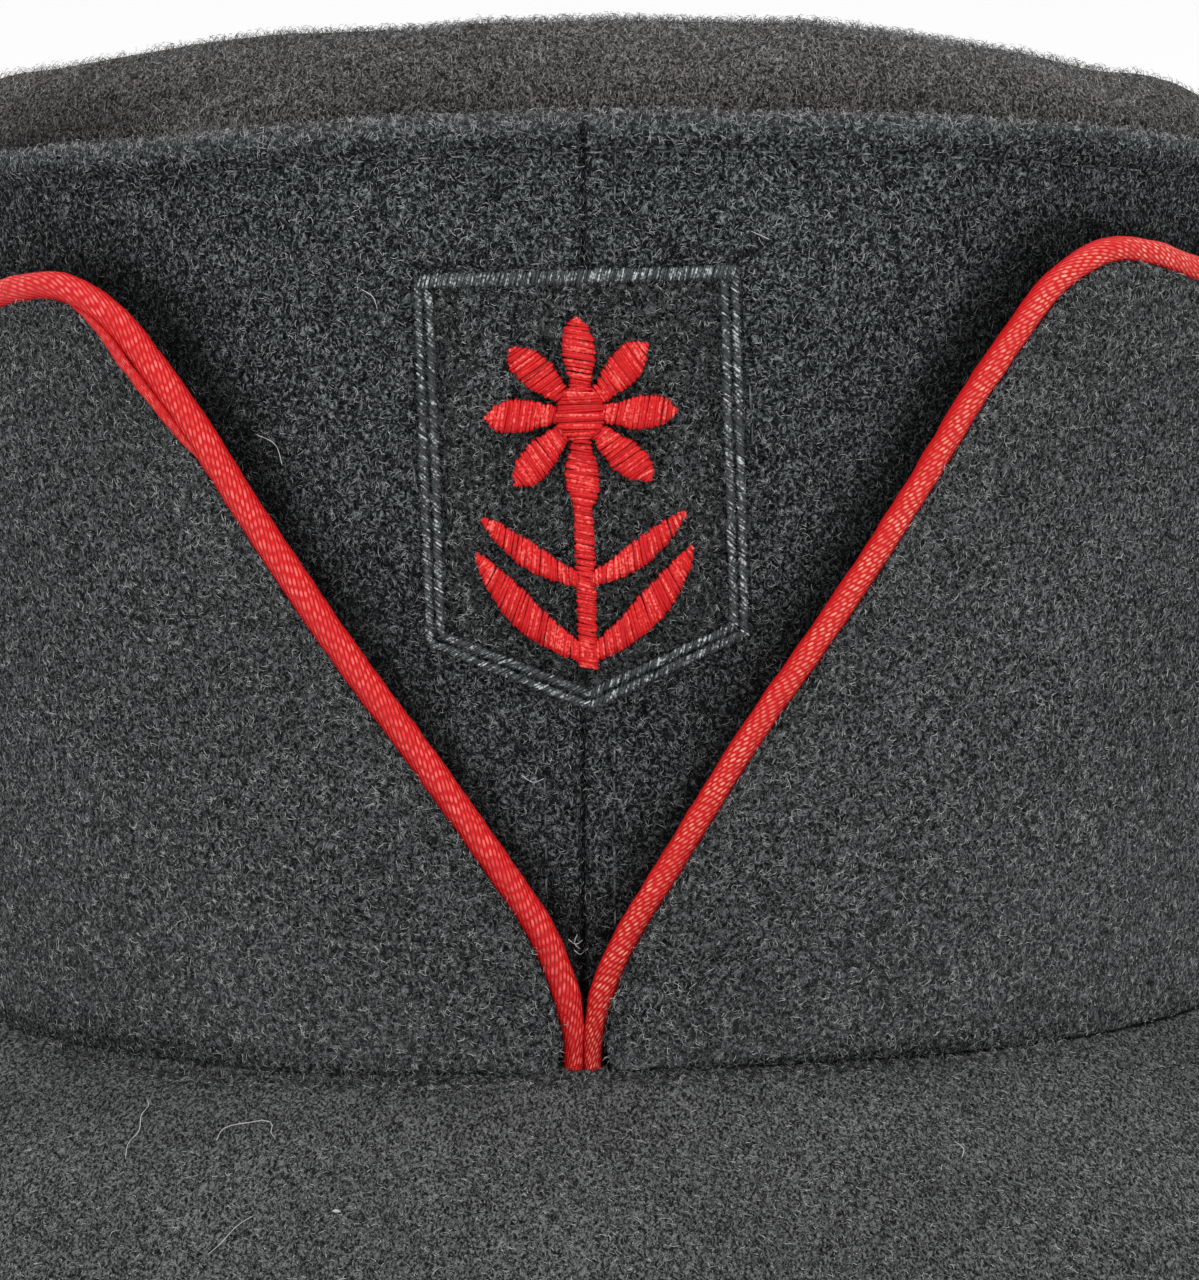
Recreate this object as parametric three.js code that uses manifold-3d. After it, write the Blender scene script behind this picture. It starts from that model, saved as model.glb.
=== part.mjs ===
// A round felt field cap: a tall crown with a domed top, a turned-up cuff that is notched in a V
// at the front and edged with cord, a cloth peak, and an embroidered shield patch in the notch.
// Millimetres, +Z up. The front faces -Y and the wearer's left is +X.
import * as THREE from 'three';
import { mergeVertices } from 'three/addons/utils/BufferGeometryUtils.js';
import Module from 'manifold-3d';

const wasm = await Module();
wasm.setup();

// Head opening: the inner oval of the rim
const headLength = 198;
const headWidth = 166;
const ovalPower = 2.2;

// Crown: two side panels and a domed top, all of felt
const crownWall = 2.2;
const crownFrontHeight = 101;
const crownBackHeight = 86;
const crownFrontFlare = 1.5;
const crownSideFlare = 6.5;
const flarePower = 1.6;
const weltHeight = 4.2;
const weltSwell = 0.7;
const topWall = 2.2;
const domeRise = 17;
const domeTuck = 3;
const domePower = 3.5;
const domeSoftness = 0.7;

// Cuff: two felt flaps round the crown, and the cord along their upper edge
const cuffWall = 2.8;
const cuffBackHeight = 63;
const cuffFrontEdge = 5;
const leanCorner = 6;
const leanBack = 2;
const leanFull = 88;
const leanSpread = 80;
const leanPower = 1.5;
const cordDiameter = 2.9;
const notch = {
  right: { side: 1, reach: 57, height: 86.9 },
  left: { side: -1, reach: 57, height: 82.9 },
};

// Peak
const peakReach = 52;
const peakDroop = 22;
const peakWall = 3.6;
const peakEdge = 2.2;
const peakEndAngle = THREE.MathUtils.degToRad(66);
const peakRoundness = 2.2;
const peakFullness = 0.8;
const peakEndThinning = 0.6;

// Shield patch and its embroidery
const patchWidth = 35;
const patchHeight = 47;
const patchPoint = 7.5;
const patchBottom = 37.6;
const patchTurn = THREE.MathUtils.degToRad(1.8);
const patchFelt = 1.2;
const borderWidth = 2.7;
const borderMargin = 0.7;
const stitchHeight = 0.8;

// Gaps between pieces that are sewn or rest together, and how far the rim gives on a table
const clearance = 0.3;
const tableSettle = 0.5;

// Colours, roughness
const blackFelt = { color: 0x1d1f20, roughness: 0.95 };
const greyFelt = { color: 0x25282a, roughness: 0.95 };
const redCord = { color: 0xb3121b, roughness: 0.5 };
const redThread = { color: 0xc4161e, roughness: 0.55 };
const greyThread = { color: 0x4a4f52, roughness: 0.6 };

// Centre line of the cord along the notch, as shares of the notch's reach and height
const notchCord = [
  { across: 0.026, up: 0.005 },
  { across: 0.028, up: 0.05 },
  { across: 0.043, up: 0.11 },
  { across: 0.08, up: 0.175 },
  { across: 0.155, up: 0.255 },
  { across: 0.3, up: 0.4 },
  { across: 0.46, up: 0.555 },
  { across: 0.6, up: 0.7 },
  { across: 0.72, up: 0.83 },
  { across: 0.8, up: 0.905 },
  { across: 0.87, up: 0.96 },
  { across: 0.97, up: 0.995 },
  { across: 1.08, up: 0.993 },
  { across: 1.25, up: 0.968 },
];

// Upper edge behind the notch: around from its corner to the back seam, down to the back height
const sideCord = [
  { around: 0.3, down: 0.2 },
  { around: 0.6, down: 0.6 },
  { around: 0.85, down: 0.93 },
  { around: 1, down: 1 },
];

// Section of a crown side at its top welt: depth below the edge and swell as shares of the welt
const weltRows = [
  { below: 2.2, swell: 0, wall: 1 },
  { below: 1.15, swell: 0.1, wall: 1 },
  { below: 1, swell: -0.3, wall: 1 },
  { below: 0.75, swell: 0.8, wall: 1.2 },
  { below: 0.35, swell: 1, wall: 1.25 },
  { below: 0.1, swell: 0.5, wall: 0.95 },
  { below: 0, swell: -0.6, wall: 0.5 },
];

// Section of a flap: height as a share of its own height, and thickness as a share of the wall
const cuffRows = [
  { up: 0, wall: 0.5 },
  { up: 0.025, wall: 1 },
  { up: 0.22, wall: 1 },
  { up: 0.48, wall: 1 },
  { up: 0.74, wall: 1 },
  { up: 0.96, wall: 0.95 },
  { up: 1, wall: 0.7 },
];

// Section of the peak from the seam to its outer edge: reach and fall as shares, and thickness
const peakRows = [
  { out: 0.03, fall: 0.03, wall: 1 },
  { out: 0.2, fall: 0.16, wall: 1 },
  { out: 0.45, fall: 0.38, wall: 1 },
  { out: 0.7, fall: 0.64, wall: 1 },
  { out: 0.88, fall: 0.85, wall: 0.9 },
  { out: 0.96, fall: 0.94, wall: 1 },
];

// The dome's rings, as shares of its radius
const domeRings = [0.98, 0.94, 0.87, 0.77, 0.63, 0.45, 0.22, 0];

const cordRadius = cordDiameter / 2;
const seamOut = crownWall + clearance + cuffWall;
const rimLength = headLength / 2 + seamOut;
const quarter = Math.PI / 2;

// A closed body from points and triangles: equal points are merged, flat triangles dropped,
// and the faces turned outwards.
function closedBody(points, triangles) {
  const raw = new THREE.BufferGeometry();
  raw.setAttribute('position', new THREE.Float32BufferAttribute(points.flat(), 3));
  raw.setIndex(triangles.flat());
  const merged = mergeVertices(raw, 1e-3);
  const index = merged.index.array;
  const at = (i) => new THREE.Vector3().fromBufferAttribute(merged.attributes.position, i);
  let kept = [];
  let volume = 0;
  for (let i = 0; i < index.length; i += 3) {
    const [a, b, c] = [index[i], index[i + 1], index[i + 2]];
    if (a === b || b === c || a === c) continue;
    kept.push([a, b, c]);
    volume += at(a).dot(at(b).cross(at(c)));
  }
  if (volume < 0) kept = kept.map(([a, b, c]) => [a, c, b]);
  merged.setIndex(kept.flat());
  merged.computeVertexNormals();
  return merged;
}

// A felt sheet with a thickness: outer and inner are grids of points, one list for each column.
function feltSheet(outer, inner, closed = false) {
  const columns = outer.length;
  const rows = outer[0].length;
  const points = [...outer.flat(), ...inner.flat()];
  const front = (i, j) => (i % columns) * rows + j;
  const back = (i, j) => columns * rows + front(i, j);
  const triangles = [];
  const quad = (a, b, c, d) => triangles.push([a, b, c], [a, c, d]);
  for (let i = 0; i < columns - (closed ? 0 : 1); i++) {
    for (let j = 0; j < rows - 1; j++) {
      quad(front(i, j), front(i + 1, j), front(i + 1, j + 1), front(i, j + 1));
      quad(back(i, j), back(i, j + 1), back(i + 1, j + 1), back(i + 1, j));
    }
    quad(front(i, 0), back(i, 0), back(i + 1, 0), front(i + 1, 0));
    quad(front(i, rows - 1), front(i + 1, rows - 1), back(i + 1, rows - 1), back(i, rows - 1));
  }
  if (!closed) {
    for (const i of [0, columns - 1]) {
      for (let j = 0; j < rows - 1; j++) {
        const ladder = [front(i, j), front(i, j + 1), back(i, j + 1), back(i, j)];
        quad(...(i === 0 ? ladder : ladder.reverse()));
      }
    }
  }
  return closedBody(points, triangles);
}

// The inner line of a section whose outer line is given in the plane of out and up
function innerLine(outer) {
  return outer.map((p, i) => {
    const before = outer[Math.max(i - 1, 0)];
    const after = outer[Math.min(i + 1, outer.length - 1)];
    const along = new THREE.Vector2(after.out - before.out, after.up - before.up).normalize();
    return { out: p.out - along.y * p.wall, up: p.up + along.x * p.wall };
  });
}

const spaced = (from, to, steps) =>
  Array.from({ length: steps + 1 }, (_, i) => from + ((to - from) * i) / steps);

// The rim's oval, grown outwards by an offset, as a distance from the middle at an angle from
// the front
function ovalRadius(angle, offset) {
  const along = Math.abs(Math.cos(angle)) / (headLength / 2 + offset);
  const across = Math.abs(Math.sin(angle)) / (headWidth / 2 + offset);
  return (along ** ovalPower + across ** ovalPower) ** (-1 / ovalPower);
}

function onOval(angle, offset, up) {
  const radius = ovalRadius(angle, offset);
  return [radius * Math.sin(angle), -radius * Math.cos(angle), up];
}

// Cloth is cut by its length round the rim: this turns that length into an angle
const girthSteps = 360;
const cuffMiddle = crownWall + clearance + cuffWall / 2;
const girth = [0];
for (let i = 1; i <= girthSteps; i++) {
  const [here, last] = [i, i - 1].map((k) =>
    new THREE.Vector3(...onOval((Math.PI * k) / girthSteps, cuffMiddle, 0)),
  );
  girth.push(girth[i - 1] + here.distanceTo(last));
}
const halfGirth = girth[girthSteps];

function angleAt(length) {
  const far = Math.min(Math.abs(length), halfGirth);
  const k = Math.min(Math.max(girth.findIndex((g) => g >= far), 1), girthSteps);
  const share = (far - girth[k - 1]) / (girth[k] - girth[k - 1]);
  return (Math.sign(length) * Math.PI * (k - 1 + share)) / girthSteps;
}

// How the cap sits on a table: on the back of its rim and on the edge of the peak
const restTilt = Math.atan2(peakDroop + peakEdge, 2 * rimLength + peakReach);
const tableAt = (y) => tableSettle - (rimLength - y) * Math.tan(restTilt);
const onTable = ([x, y, z]) => [x, y, Math.max(z, tableAt(y))];

// The crown's outer face
const crownMiddle = (crownFrontHeight + crownBackHeight) / 2;
const crownEdge = (angle) => crownMiddle + (crownFrontHeight - crownMiddle) * Math.cos(angle);
const crownFlare = (angle) =>
  crownFrontFlare + (crownSideFlare - crownFrontFlare) * Math.sin(angle) ** 2;
const crownOut = (angle, up) =>
  crownWall + crownFlare(angle) * Math.max(up / crownEdge(angle), 0) ** flarePower;

function crownSide(side) {
  const seam = clearance / 2 / rimLength;
  const columns = spaced(seam, Math.PI - seam, 26).map((angle) => {
    const edge = crownEdge(angle);
    const lower = [0, 0.2, 0.45, 0.7].map((share) => ({
      up: share * (edge - weltHeight * weltRows[0].below),
      swell: 0,
      wall: 1,
    }));
    const welt = weltRows.map((row) => ({ ...row, up: edge - row.below * weltHeight }));
    const outer = [...lower, ...welt].map((row) => ({
      out: crownOut(angle, row.up) + row.swell * weltSwell,
      up: row.up,
      wall: row.wall * crownWall,
    }));
    const inner = outer.map((p) => ({ out: crownOut(angle, p.up) - crownWall, up: p.up }));
    return { angle: side * angle, outer, inner };
  });
  const wrap = (line) =>
    columns.map((c) => c[line].map((p) => onTable(onOval(c.angle, p.out, p.up))));
  return feltSheet(wrap('outer'), wrap('inner'));
}

function crownTop() {
  const columns = spaced(0, 2 * Math.PI, 40).slice(0, -1);
  const rim = (angle, up) => ovalRadius(angle, crownOut(angle, up) - crownWall - clearance);
  const face = (angle, inside) => {
    const edge = crownEdge(angle);
    const tucked = [domeTuck, domeTuck / 4].map((below) => ({
      out: rim(angle, edge - below),
      up: edge - below,
    }));
    const dome = domeRings.map((share) => ({
      out: share * rim(angle, edge),
      up: crownMiddle + (edge - crownMiddle) * share + domeRise * (1 - share ** domePower) ** domeSoftness,
    }));
    const section = [...tucked, ...dome].map((p) => ({ ...p, wall: topWall }));
    const line = inside ? innerLine(section) : section;
    if (inside) line[line.length - 1] = { out: 0, up: section.at(-1).up - topWall };
    return line.map((p) => [p.out * Math.sin(angle), -p.out * Math.cos(angle), p.up]);
  };
  return feltSheet(
    columns.map((angle) => face(angle, false)),
    columns.map((angle) => face(angle, true)),
    true,
  );
}

// The cuff's inner face stands off the crown, more so at the corners of the notch
function cuffInside(length, up, reach) {
  const angle = angleAt(length);
  const past = Math.max(Math.abs(length) - reach, 0) / leanSpread;
  const lean = leanBack + (leanCorner - leanBack) * Math.exp(-(past ** 2));
  return crownOut(angle, up) + clearance + lean * Math.max(up / leanFull, 0) ** leanPower;
}

// The cord's centre line on the flat cloth, from the foot of the notch to the back seam
function cordLine({ reach, height }) {
  const corner = notchCord.at(-1);
  const from = corner.across * reach;
  const top = corner.up * height;
  const back = cuffBackHeight + clearance + cordRadius;
  const points = [
    ...notchCord.map((p) => [Math.max(p.across * reach, cordRadius + clearance / 2), p.up * height]),
    ...sideCord.map((p) => [
      from + (halfGirth - clearance / 2 - from) * p.around,
      top + (back - top) * p.down,
    ]),
  ].map(([x, y]) => new THREE.Vector3(x, y, 0));
  return new THREE.CatmullRomCurve3(points, false, 'centripetal');
}

function cuffFlap(flap) {
  const line = cordLine(flap);
  const beside = cordRadius + clearance;
  const edge = [...spaced(0, 0.42, 28), ...spaced(0.42, 1, 24).slice(1)]
    .map((t) => {
      const at = line.getPointAt(t);
      const along = line.getTangentAt(t);
      return { length: at.x + along.y * beside, up: at.y - along.x * beside };
    })
    .filter((p) => p.up > cuffFrontEdge && p.length < halfGirth - clearance / 2);
  const last = edge.at(-1);
  const columns = [...edge, { length: halfGirth - clearance / 2, up: last.up }];
  const face = (outside) =>
    columns.map((column) =>
      cuffRows.map((row) => {
        const up = row.up * column.up;
        const inside = cuffInside(column.length, up, flap.reach);
        const middle = inside + cuffWall / 2;
        const out = middle + (outside ? 1 : -1) * row.wall * (cuffWall / 2);
        return onTable(onOval(flap.side * angleAt(column.length), out, up));
      }),
    );
  return feltSheet(face(true), face(false));
}

function cuffCord(flap) {
  const line = cordLine(flap);
  const steps = 60;
  const path = new THREE.CatmullRomCurve3(
    spaced(0, 1, steps).map((t) => {
      const p = line.getPointAt(t);
      const out = cuffInside(p.x, p.y, flap.reach) + cuffWall / 2;
      return new THREE.Vector3(...onOval(flap.side * angleAt(p.x), out, p.y));
    }),
  );
  const section = new THREE.Shape().absarc(0, 0, cordRadius, 0, 2 * Math.PI);
  return new THREE.ExtrudeGeometry(section, { steps, curveSegments: 5, extrudePath: path });
}

function peak() {
  const columns = spaced(-1, 1, 28).map((u) => {
    const angle = u * peakEndAngle;
    const seam = new THREE.Vector3(...onOval(angle, seamOut, 0));
    const step = new THREE.Vector3(...onOval(angle + 1e-3, seamOut, 0)).sub(seam);
    const normal = new THREE.Vector3(step.y, -step.x, 0).normalize();
    const forward = new THREE.Vector3(0, -1, 0).add(normal).normalize();
    const reach = clearance + peakReach * (1 - Math.abs(u) ** peakRoundness) ** peakFullness;
    const tip = seam.clone().addScaledVector(forward, reach);
    const flat = 1 - THREE.MathUtils.smoothstep(Math.abs(u), 0.5, 1);
    const fall = -(tableAt(tip.y) + peakEdge) * flat;
    const ends = 1 - peakEndThinning * Math.abs(u) ** 6;
    const section = [
      { ...row(seam, normal, -seamOut), fall: clearance, wall: crownWall * ends },
      { ...row(seam, normal, 0), fall: clearance, wall: crownWall * ends },
      ...peakRows.map((p) => ({
        ...row(seam, forward, p.out * reach),
        fall: clearance + p.fall * (fall - clearance),
        wall: p.wall * peakWall * ends,
      })),
      { ...row(seam, forward, reach), fall, wall: peakEdge * ends },
    ];
    return {
      top: section.map((p) => [p.x, p.y, -p.fall]),
      under: section.map((p) => onTable([p.x, p.y, -p.fall - p.wall])),
    };
  });
  return feltSheet(
    columns.map((c) => c.top),
    columns.map((c) => c.under),
  );
}

function row(from, direction, distance) {
  const p = from.clone().addScaledVector(direction, distance);
  return { x: p.x, y: p.y };
}

// A piece of the crown's front face, lifted off it and with a thickness, to be cut to an outline
function frontSlab(lift, thickness) {
  const spread = (0.9 * patchWidth) / rimLength;
  const heights = spaced(patchBottom - patchPoint, patchBottom + patchHeight + patchPoint, 4);
  const face = (more) =>
    spaced(-spread, spread, 16).map((angle) =>
      heights.map((up) => onOval(angle, crownOut(angle, up) + lift + more, up)),
    );
  return feltSheet(face(thickness), face(0));
}

function solid(geometry) {
  const bare = new THREE.BufferGeometry().setAttribute('position', geometry.attributes.position);
  if (geometry.index) bare.setIndex(geometry.index);
  const merged = mergeVertices(bare, 1e-3);
  return new wasm.Manifold(
    new wasm.Mesh({
      numProp: 3,
      vertProperties: merged.attributes.position.array,
      triVerts: new Uint32Array(merged.index.array),
    }),
  );
}

function geometryOf(manifold) {
  const mesh = manifold.getMesh();
  const made = new THREE.BufferGeometry();
  made.setAttribute('position', new THREE.BufferAttribute(mesh.vertProperties, 3));
  made.setIndex(new THREE.BufferAttribute(mesh.triVerts, 1));
  made.computeVertexNormals();
  return made;
}

// An outline in the patch's own plane, turned as the patch is and run through the cap's front
function punch(shape) {
  const prism = new THREE.ExtrudeGeometry(shape, {
    depth: headLength / 2,
    bevelEnabled: false,
    curveSegments: 6,
  });
  prism.rotateX(quarter).rotateY(-patchTurn);
  prism.translate(0, -headLength / 3, patchBottom + patchHeight / 2);
  return solid(prism);
}

// The shield: straight sides and top, and a shallow point below. It shrinks by an inset.
function shieldOutline(inset) {
  const half = patchWidth / 2 - inset;
  const top = patchHeight / 2 - inset;
  const slope = patchPoint / (patchWidth / 2);
  const shoulder = -patchHeight / 2 + patchPoint + inset * (Math.hypot(1, slope) - slope);
  const tip = shoulder - half * slope;
  return [
    [-half, shoulder],
    [0, tip],
    [half, shoulder],
    [half, top],
    [-half, top],
  ].map(([x, y]) => new THREE.Vector2(x, y));
}

function patchGround() {
  const outline = new THREE.Shape(shieldOutline(0));
  return geometryOf(solid(frontSlab(clearance, patchFelt)).intersect(punch(outline)));
}

function patchBorder() {
  const outer = new THREE.Shape(shieldOutline(borderMargin));
  const inner = new THREE.Shape(shieldOutline(borderMargin + borderWidth));
  const slab = solid(frontSlab(2 * clearance + patchFelt, stitchHeight));
  return geometryOf(slab.intersect(punch(outer)).subtract(punch(inner)));
}

// The flower, in the patch's own plane: petals round a disc, on a stem with two pairs of leaves.
// Its lengths are shares of the motif's size.
const motifSize = Math.min(patchWidth, 0.75 * patchHeight);
const petals = 8;
const flower = { radius: 0.29, height: 0.235, petalWidth: 0.15, disc: 0.083, stem: 0.063 };
const stemFoot = -0.53;
const leaves = [
  { root: -0.495, across: 0.33, up: 0.325, width: 0.15, bow: 0.24 },
  { root: -0.27, across: 0.31, up: 0.205, width: 0.11, bow: 0.2 },
];
const petalOutline = [
  { out: 0.12, half: 0.16 },
  { out: 0.4, half: 0.36 },
  { out: 0.62, half: 0.5 },
  { out: 0.84, half: 0.42 },
  { out: 1, half: 0 },
];
const leafOutline = [
  { along: 0, half: 0.22 },
  { along: 0.25, half: 0.4 },
  { along: 0.5, half: 0.5 },
  { along: 0.78, half: 0.34 },
  { along: 1, half: 0 },
];

const motifPoint = (x, y) => new THREE.Vector2(x, y).multiplyScalar(motifSize);

// A closed outline through one side's points and back along their mirror image
function mirroredShape(side) {
  const curve = new THREE.SplineCurve(side).getPoints(8);
  return [...curve, ...curve.slice(0, -1).reverse().map((p) => new THREE.Vector2(p.x, -p.y))];
}

function petalShape(turn) {
  const side = petalOutline.map((p) =>
    motifPoint(p.out * flower.radius, -p.half * flower.petalWidth),
  );
  const centre = motifPoint(0, flower.height);
  const points = mirroredShape(side).map((p) => p.add(centre).rotateAround(centre, turn));
  return new THREE.Shape(points);
}

function leafShape({ root, across, up, width, bow }, side) {
  const tip = motifPoint(across, up);
  const half = leafOutline.map((p) => motifPoint(p.along * Math.hypot(across, up), -p.half * width));
  const sag = (along) => -4 * bow * width * motifSize * along * (1 - along);
  const points = mirroredShape(half).map((p) => {
    p.y += sag(p.x / tip.length());
    p.rotateAround(new THREE.Vector2(), tip.angle());
    return new THREE.Vector2(side * p.x, p.y + root * motifSize);
  });
  return new THREE.Shape(points);
}

function patchFlower() {
  const centre = motifPoint(0, flower.height);
  const discRadius = flower.disc * motifSize;
  const disc = new THREE.Shape().absarc(centre.x, centre.y, discRadius, 0, 2 * Math.PI);
  const stem = new THREE.Shape([
    motifPoint(-flower.stem / 2, stemFoot),
    motifPoint(flower.stem / 2, stemFoot),
    motifPoint(flower.stem / 2, flower.height),
    motifPoint(-flower.stem / 2, flower.height),
  ]);
  const turns = spaced(0, 2 * Math.PI, petals).slice(1);
  const shapes = [
    disc,
    stem,
    ...turns.map(petalShape),
    ...leaves.flatMap((leaf) => [leafShape(leaf, 1), leafShape(leaf, -1)]),
  ];
  const outline = shapes.map(punch).reduce((all, one) => all.add(one));
  const slab = solid(frontSlab(2 * clearance + patchFelt, stitchHeight));
  return geometryOf(slab.intersect(outline));
}

function piece(name, geometry, look) {
  const mesh = new THREE.Mesh(geometry, new THREE.MeshStandardMaterial({ ...look, metalness: 0 }));
  mesh.name = name;
  return mesh;
}

const cap = new THREE.Group();
cap.add(
  piece('crown_side_right', crownSide(1), blackFelt),
  piece('crown_side_left', crownSide(-1), blackFelt),
  piece('crown_top', crownTop(), blackFelt),
  piece('cuff_right', cuffFlap(notch.right), greyFelt),
  piece('cuff_left', cuffFlap(notch.left), greyFelt),
  piece('piping_right', cuffCord(notch.right), redCord),
  piece('piping_left', cuffCord(notch.left), redCord),
  piece('peak', peak(), greyFelt),
  piece('patch_ground', patchGround(), blackFelt),
  piece('patch_border', patchBorder(), greyThread),
  piece('patch_flower', patchFlower(), redThread),
);

// Tipped back on to the table, with the middle of its base at the origin
cap.rotation.x = -restTilt;
cap.updateMatrixWorld();
const box = new THREE.Box3().setFromObject(cap, true);
const middle = box.getCenter(new THREE.Vector3());
cap.position.set(-middle.x, -middle.y, -box.min.z);

const part = new THREE.Group();
part.add(cap);
export default part;
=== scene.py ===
# %% [markdown]
# # A felt field cap, seen from close up
# The cap is a tall felt crown with a domed top, a turned-up cuff that parts in a V at the front and
# is edged with red satin cord, a cloth-covered peak, and a small embroidered shield in the V.
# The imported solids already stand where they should. Each soft one is replaced here by the same
# shape with what a close view shows: pressed seams, rolled edges, stitches and nap.

import math
import random
from functools import partial

import bmesh
import bpy
import numpy as np
from mathutils import Matrix, Vector, noise


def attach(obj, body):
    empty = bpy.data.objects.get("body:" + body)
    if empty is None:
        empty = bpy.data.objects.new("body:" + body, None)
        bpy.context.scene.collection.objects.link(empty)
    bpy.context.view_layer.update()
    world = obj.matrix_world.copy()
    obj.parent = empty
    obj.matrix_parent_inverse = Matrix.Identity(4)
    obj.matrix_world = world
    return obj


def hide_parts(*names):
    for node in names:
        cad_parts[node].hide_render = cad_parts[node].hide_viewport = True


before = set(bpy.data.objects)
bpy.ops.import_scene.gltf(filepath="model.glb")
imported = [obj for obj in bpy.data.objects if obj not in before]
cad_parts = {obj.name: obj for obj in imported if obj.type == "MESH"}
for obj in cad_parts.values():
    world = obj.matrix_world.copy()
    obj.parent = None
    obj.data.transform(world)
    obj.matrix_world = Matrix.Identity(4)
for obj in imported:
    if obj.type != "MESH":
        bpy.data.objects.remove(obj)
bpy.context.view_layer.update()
chance = random.Random(7)
dice = np.random.default_rng(11)

# %% [markdown]
# ## Sizes
# These are the sizes that the solids were made from, in millimetres, in the cap's own frame: its
# rim lies in the plane where up is 0, and the front faces -Y. One matrix then tips the cap back to
# where it rests on the table and turns millimetres into metres.

# %% Name the cap's sizes
HEAD_LENGTH = 198
HEAD_WIDTH = 166
OVAL_POWER = 2.2
CROWN_WALL = 2.2
CROWN_FRONT = 101
CROWN_BACK = 86
FRONT_FLARE = 1.5
SIDE_FLARE = 6.5
FLARE_POWER = 1.6
WELT = 4.2
DOME_RISE = 17
DOME_POWER = 3.5
DOME_SOFTNESS = 0.7
CUFF_WALL = 2.8
CUFF_BACK = 63
LEAN_CORNER = 6
LEAN_BACK = 2
LEAN_FULL = 88
LEAN_SPREAD = 80
LEAN_POWER = 1.5
CORD = 2.9
REACH = 57
SIDES = {1: "right", -1: "left"}
NOTCH_HEIGHT = {1: 86.9, -1: 82.9}
PEAK_REACH = 52
PEAK_DROOP = 22
PEAK_WALL = 3.6
PEAK_EDGE = 2.2
PEAK_END = math.radians(66)
PEAK_ROUNDNESS = 2.2
PEAK_FULLNESS = 0.8
GAP = 0.3
SETTLE = 0.5
RIM_CENTRE = (-0.23, 23.0, 9.146)

CROWN_MIDDLE = (CROWN_FRONT + CROWN_BACK) / 2
SEAM_OUT = CROWN_WALL + GAP + CUFF_WALL
RIM_LENGTH = HEAD_LENGTH / 2 + SEAM_OUT
TILT = math.atan2(PEAK_DROOP + PEAK_EDGE, 2 * RIM_LENGTH + PEAK_REACH)
MM = 0.001
PLACE = (
    Matrix.Translation([value * MM for value in RIM_CENTRE])
    @ Matrix.Rotation(-TILT, 4, "X")
    @ Matrix.Scale(MM, 4)
)
print(f"the cap leans back by {math.degrees(TILT):.2f} degrees")

# %% [markdown]
# ## The camera
# It looks at the front from 42 cm, a little above the middle of the crown and slightly down, as
# the photograph was taken. The long lens keeps the cap's sides outside the frame.

# %% Set the camera
VIEW_DISTANCE = 420
EYE_UP = 82.5
EYE_ASIDE = 1.74
VIEW_PITCH = math.radians(5.02)
PIXELS_PER_MM = 9.5
IMAGE_HEIGHT = 1280
SENSOR = 36
EYE = PLACE @ Vector((EYE_ASIDE, -RIM_LENGTH - VIEW_DISTANCE, EYE_UP))


def set_camera():
    ahead = PLACE.to_3x3() @ Vector((0, math.cos(VIEW_PITCH), -math.sin(VIEW_PITCH)))
    data = bpy.data.cameras.new("camera")
    data.sensor_width = SENSOR
    data.lens = PIXELS_PER_MM * VIEW_DISTANCE / math.cos(VIEW_PITCH) * SENSOR / IMAGE_HEIGHT
    data.clip_start = 0.01
    camera = bpy.data.objects.new("camera", data)
    bpy.context.scene.collection.objects.link(camera)
    camera.location = EYE
    camera.rotation_euler = ahead.to_track_quat("-Z", "Y").to_euler()
    bpy.context.scene.camera = camera
    print(f"lens {data.lens:.1f} mm, eye {EYE.z * 1000:.0f} mm above the table")


set_camera()

# %% [markdown]
# ## Shader sums as Python
# A material is easier to read as a formula than as a list of wires. `Flow` wraps one socket and
# turns plus, minus and times into Math nodes. `Finish` owns a material and makes every other node
# with one method.


# %% Shader sums
class Flow:
    def __init__(self, finish, socket):
        self.finish = finish
        self.socket = socket

    def apply(self, operation, *others):
        """A Math node on this value and, where it takes more than one, on the others."""
        return self.finish.node("ShaderNodeMath", {"operation": operation},
                                dict(enumerate((self, *others))))[0]

    def __add__(self, other):
        return self.apply("ADD", other)

    def __sub__(self, other):
        return self.apply("SUBTRACT", other)

    def __rsub__(self, other):
        return self * -1 + other

    def __mul__(self, other):
        return self.apply("MULTIPLY", other)

    __radd__ = __add__
    __rmul__ = __mul__

    def ridge(self):
        """1 along the line where the value crosses a half, 0 far from it."""
        return 1 - (self * 2 - 1).apply("ABSOLUTE")

    def arch(self):
        """Rises from 0 to 1 and back as the value goes from 0 to 1."""
        return (self * math.pi).apply("SINE")

    def below_zero(self):
        """How far the value lies below 0, and 0 above it."""
        return (self * -1).apply("MAXIMUM", 0)

    def between(self, low, high):
        """0 below low and 1 above high, with a smooth rise from one to the other."""
        return self.finish.node("ShaderNodeMapRange", {"interpolation_type": "SMOOTHSTEP"},
                                {"Value": self, "From Min": low, "From Max": high})[0]


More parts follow.
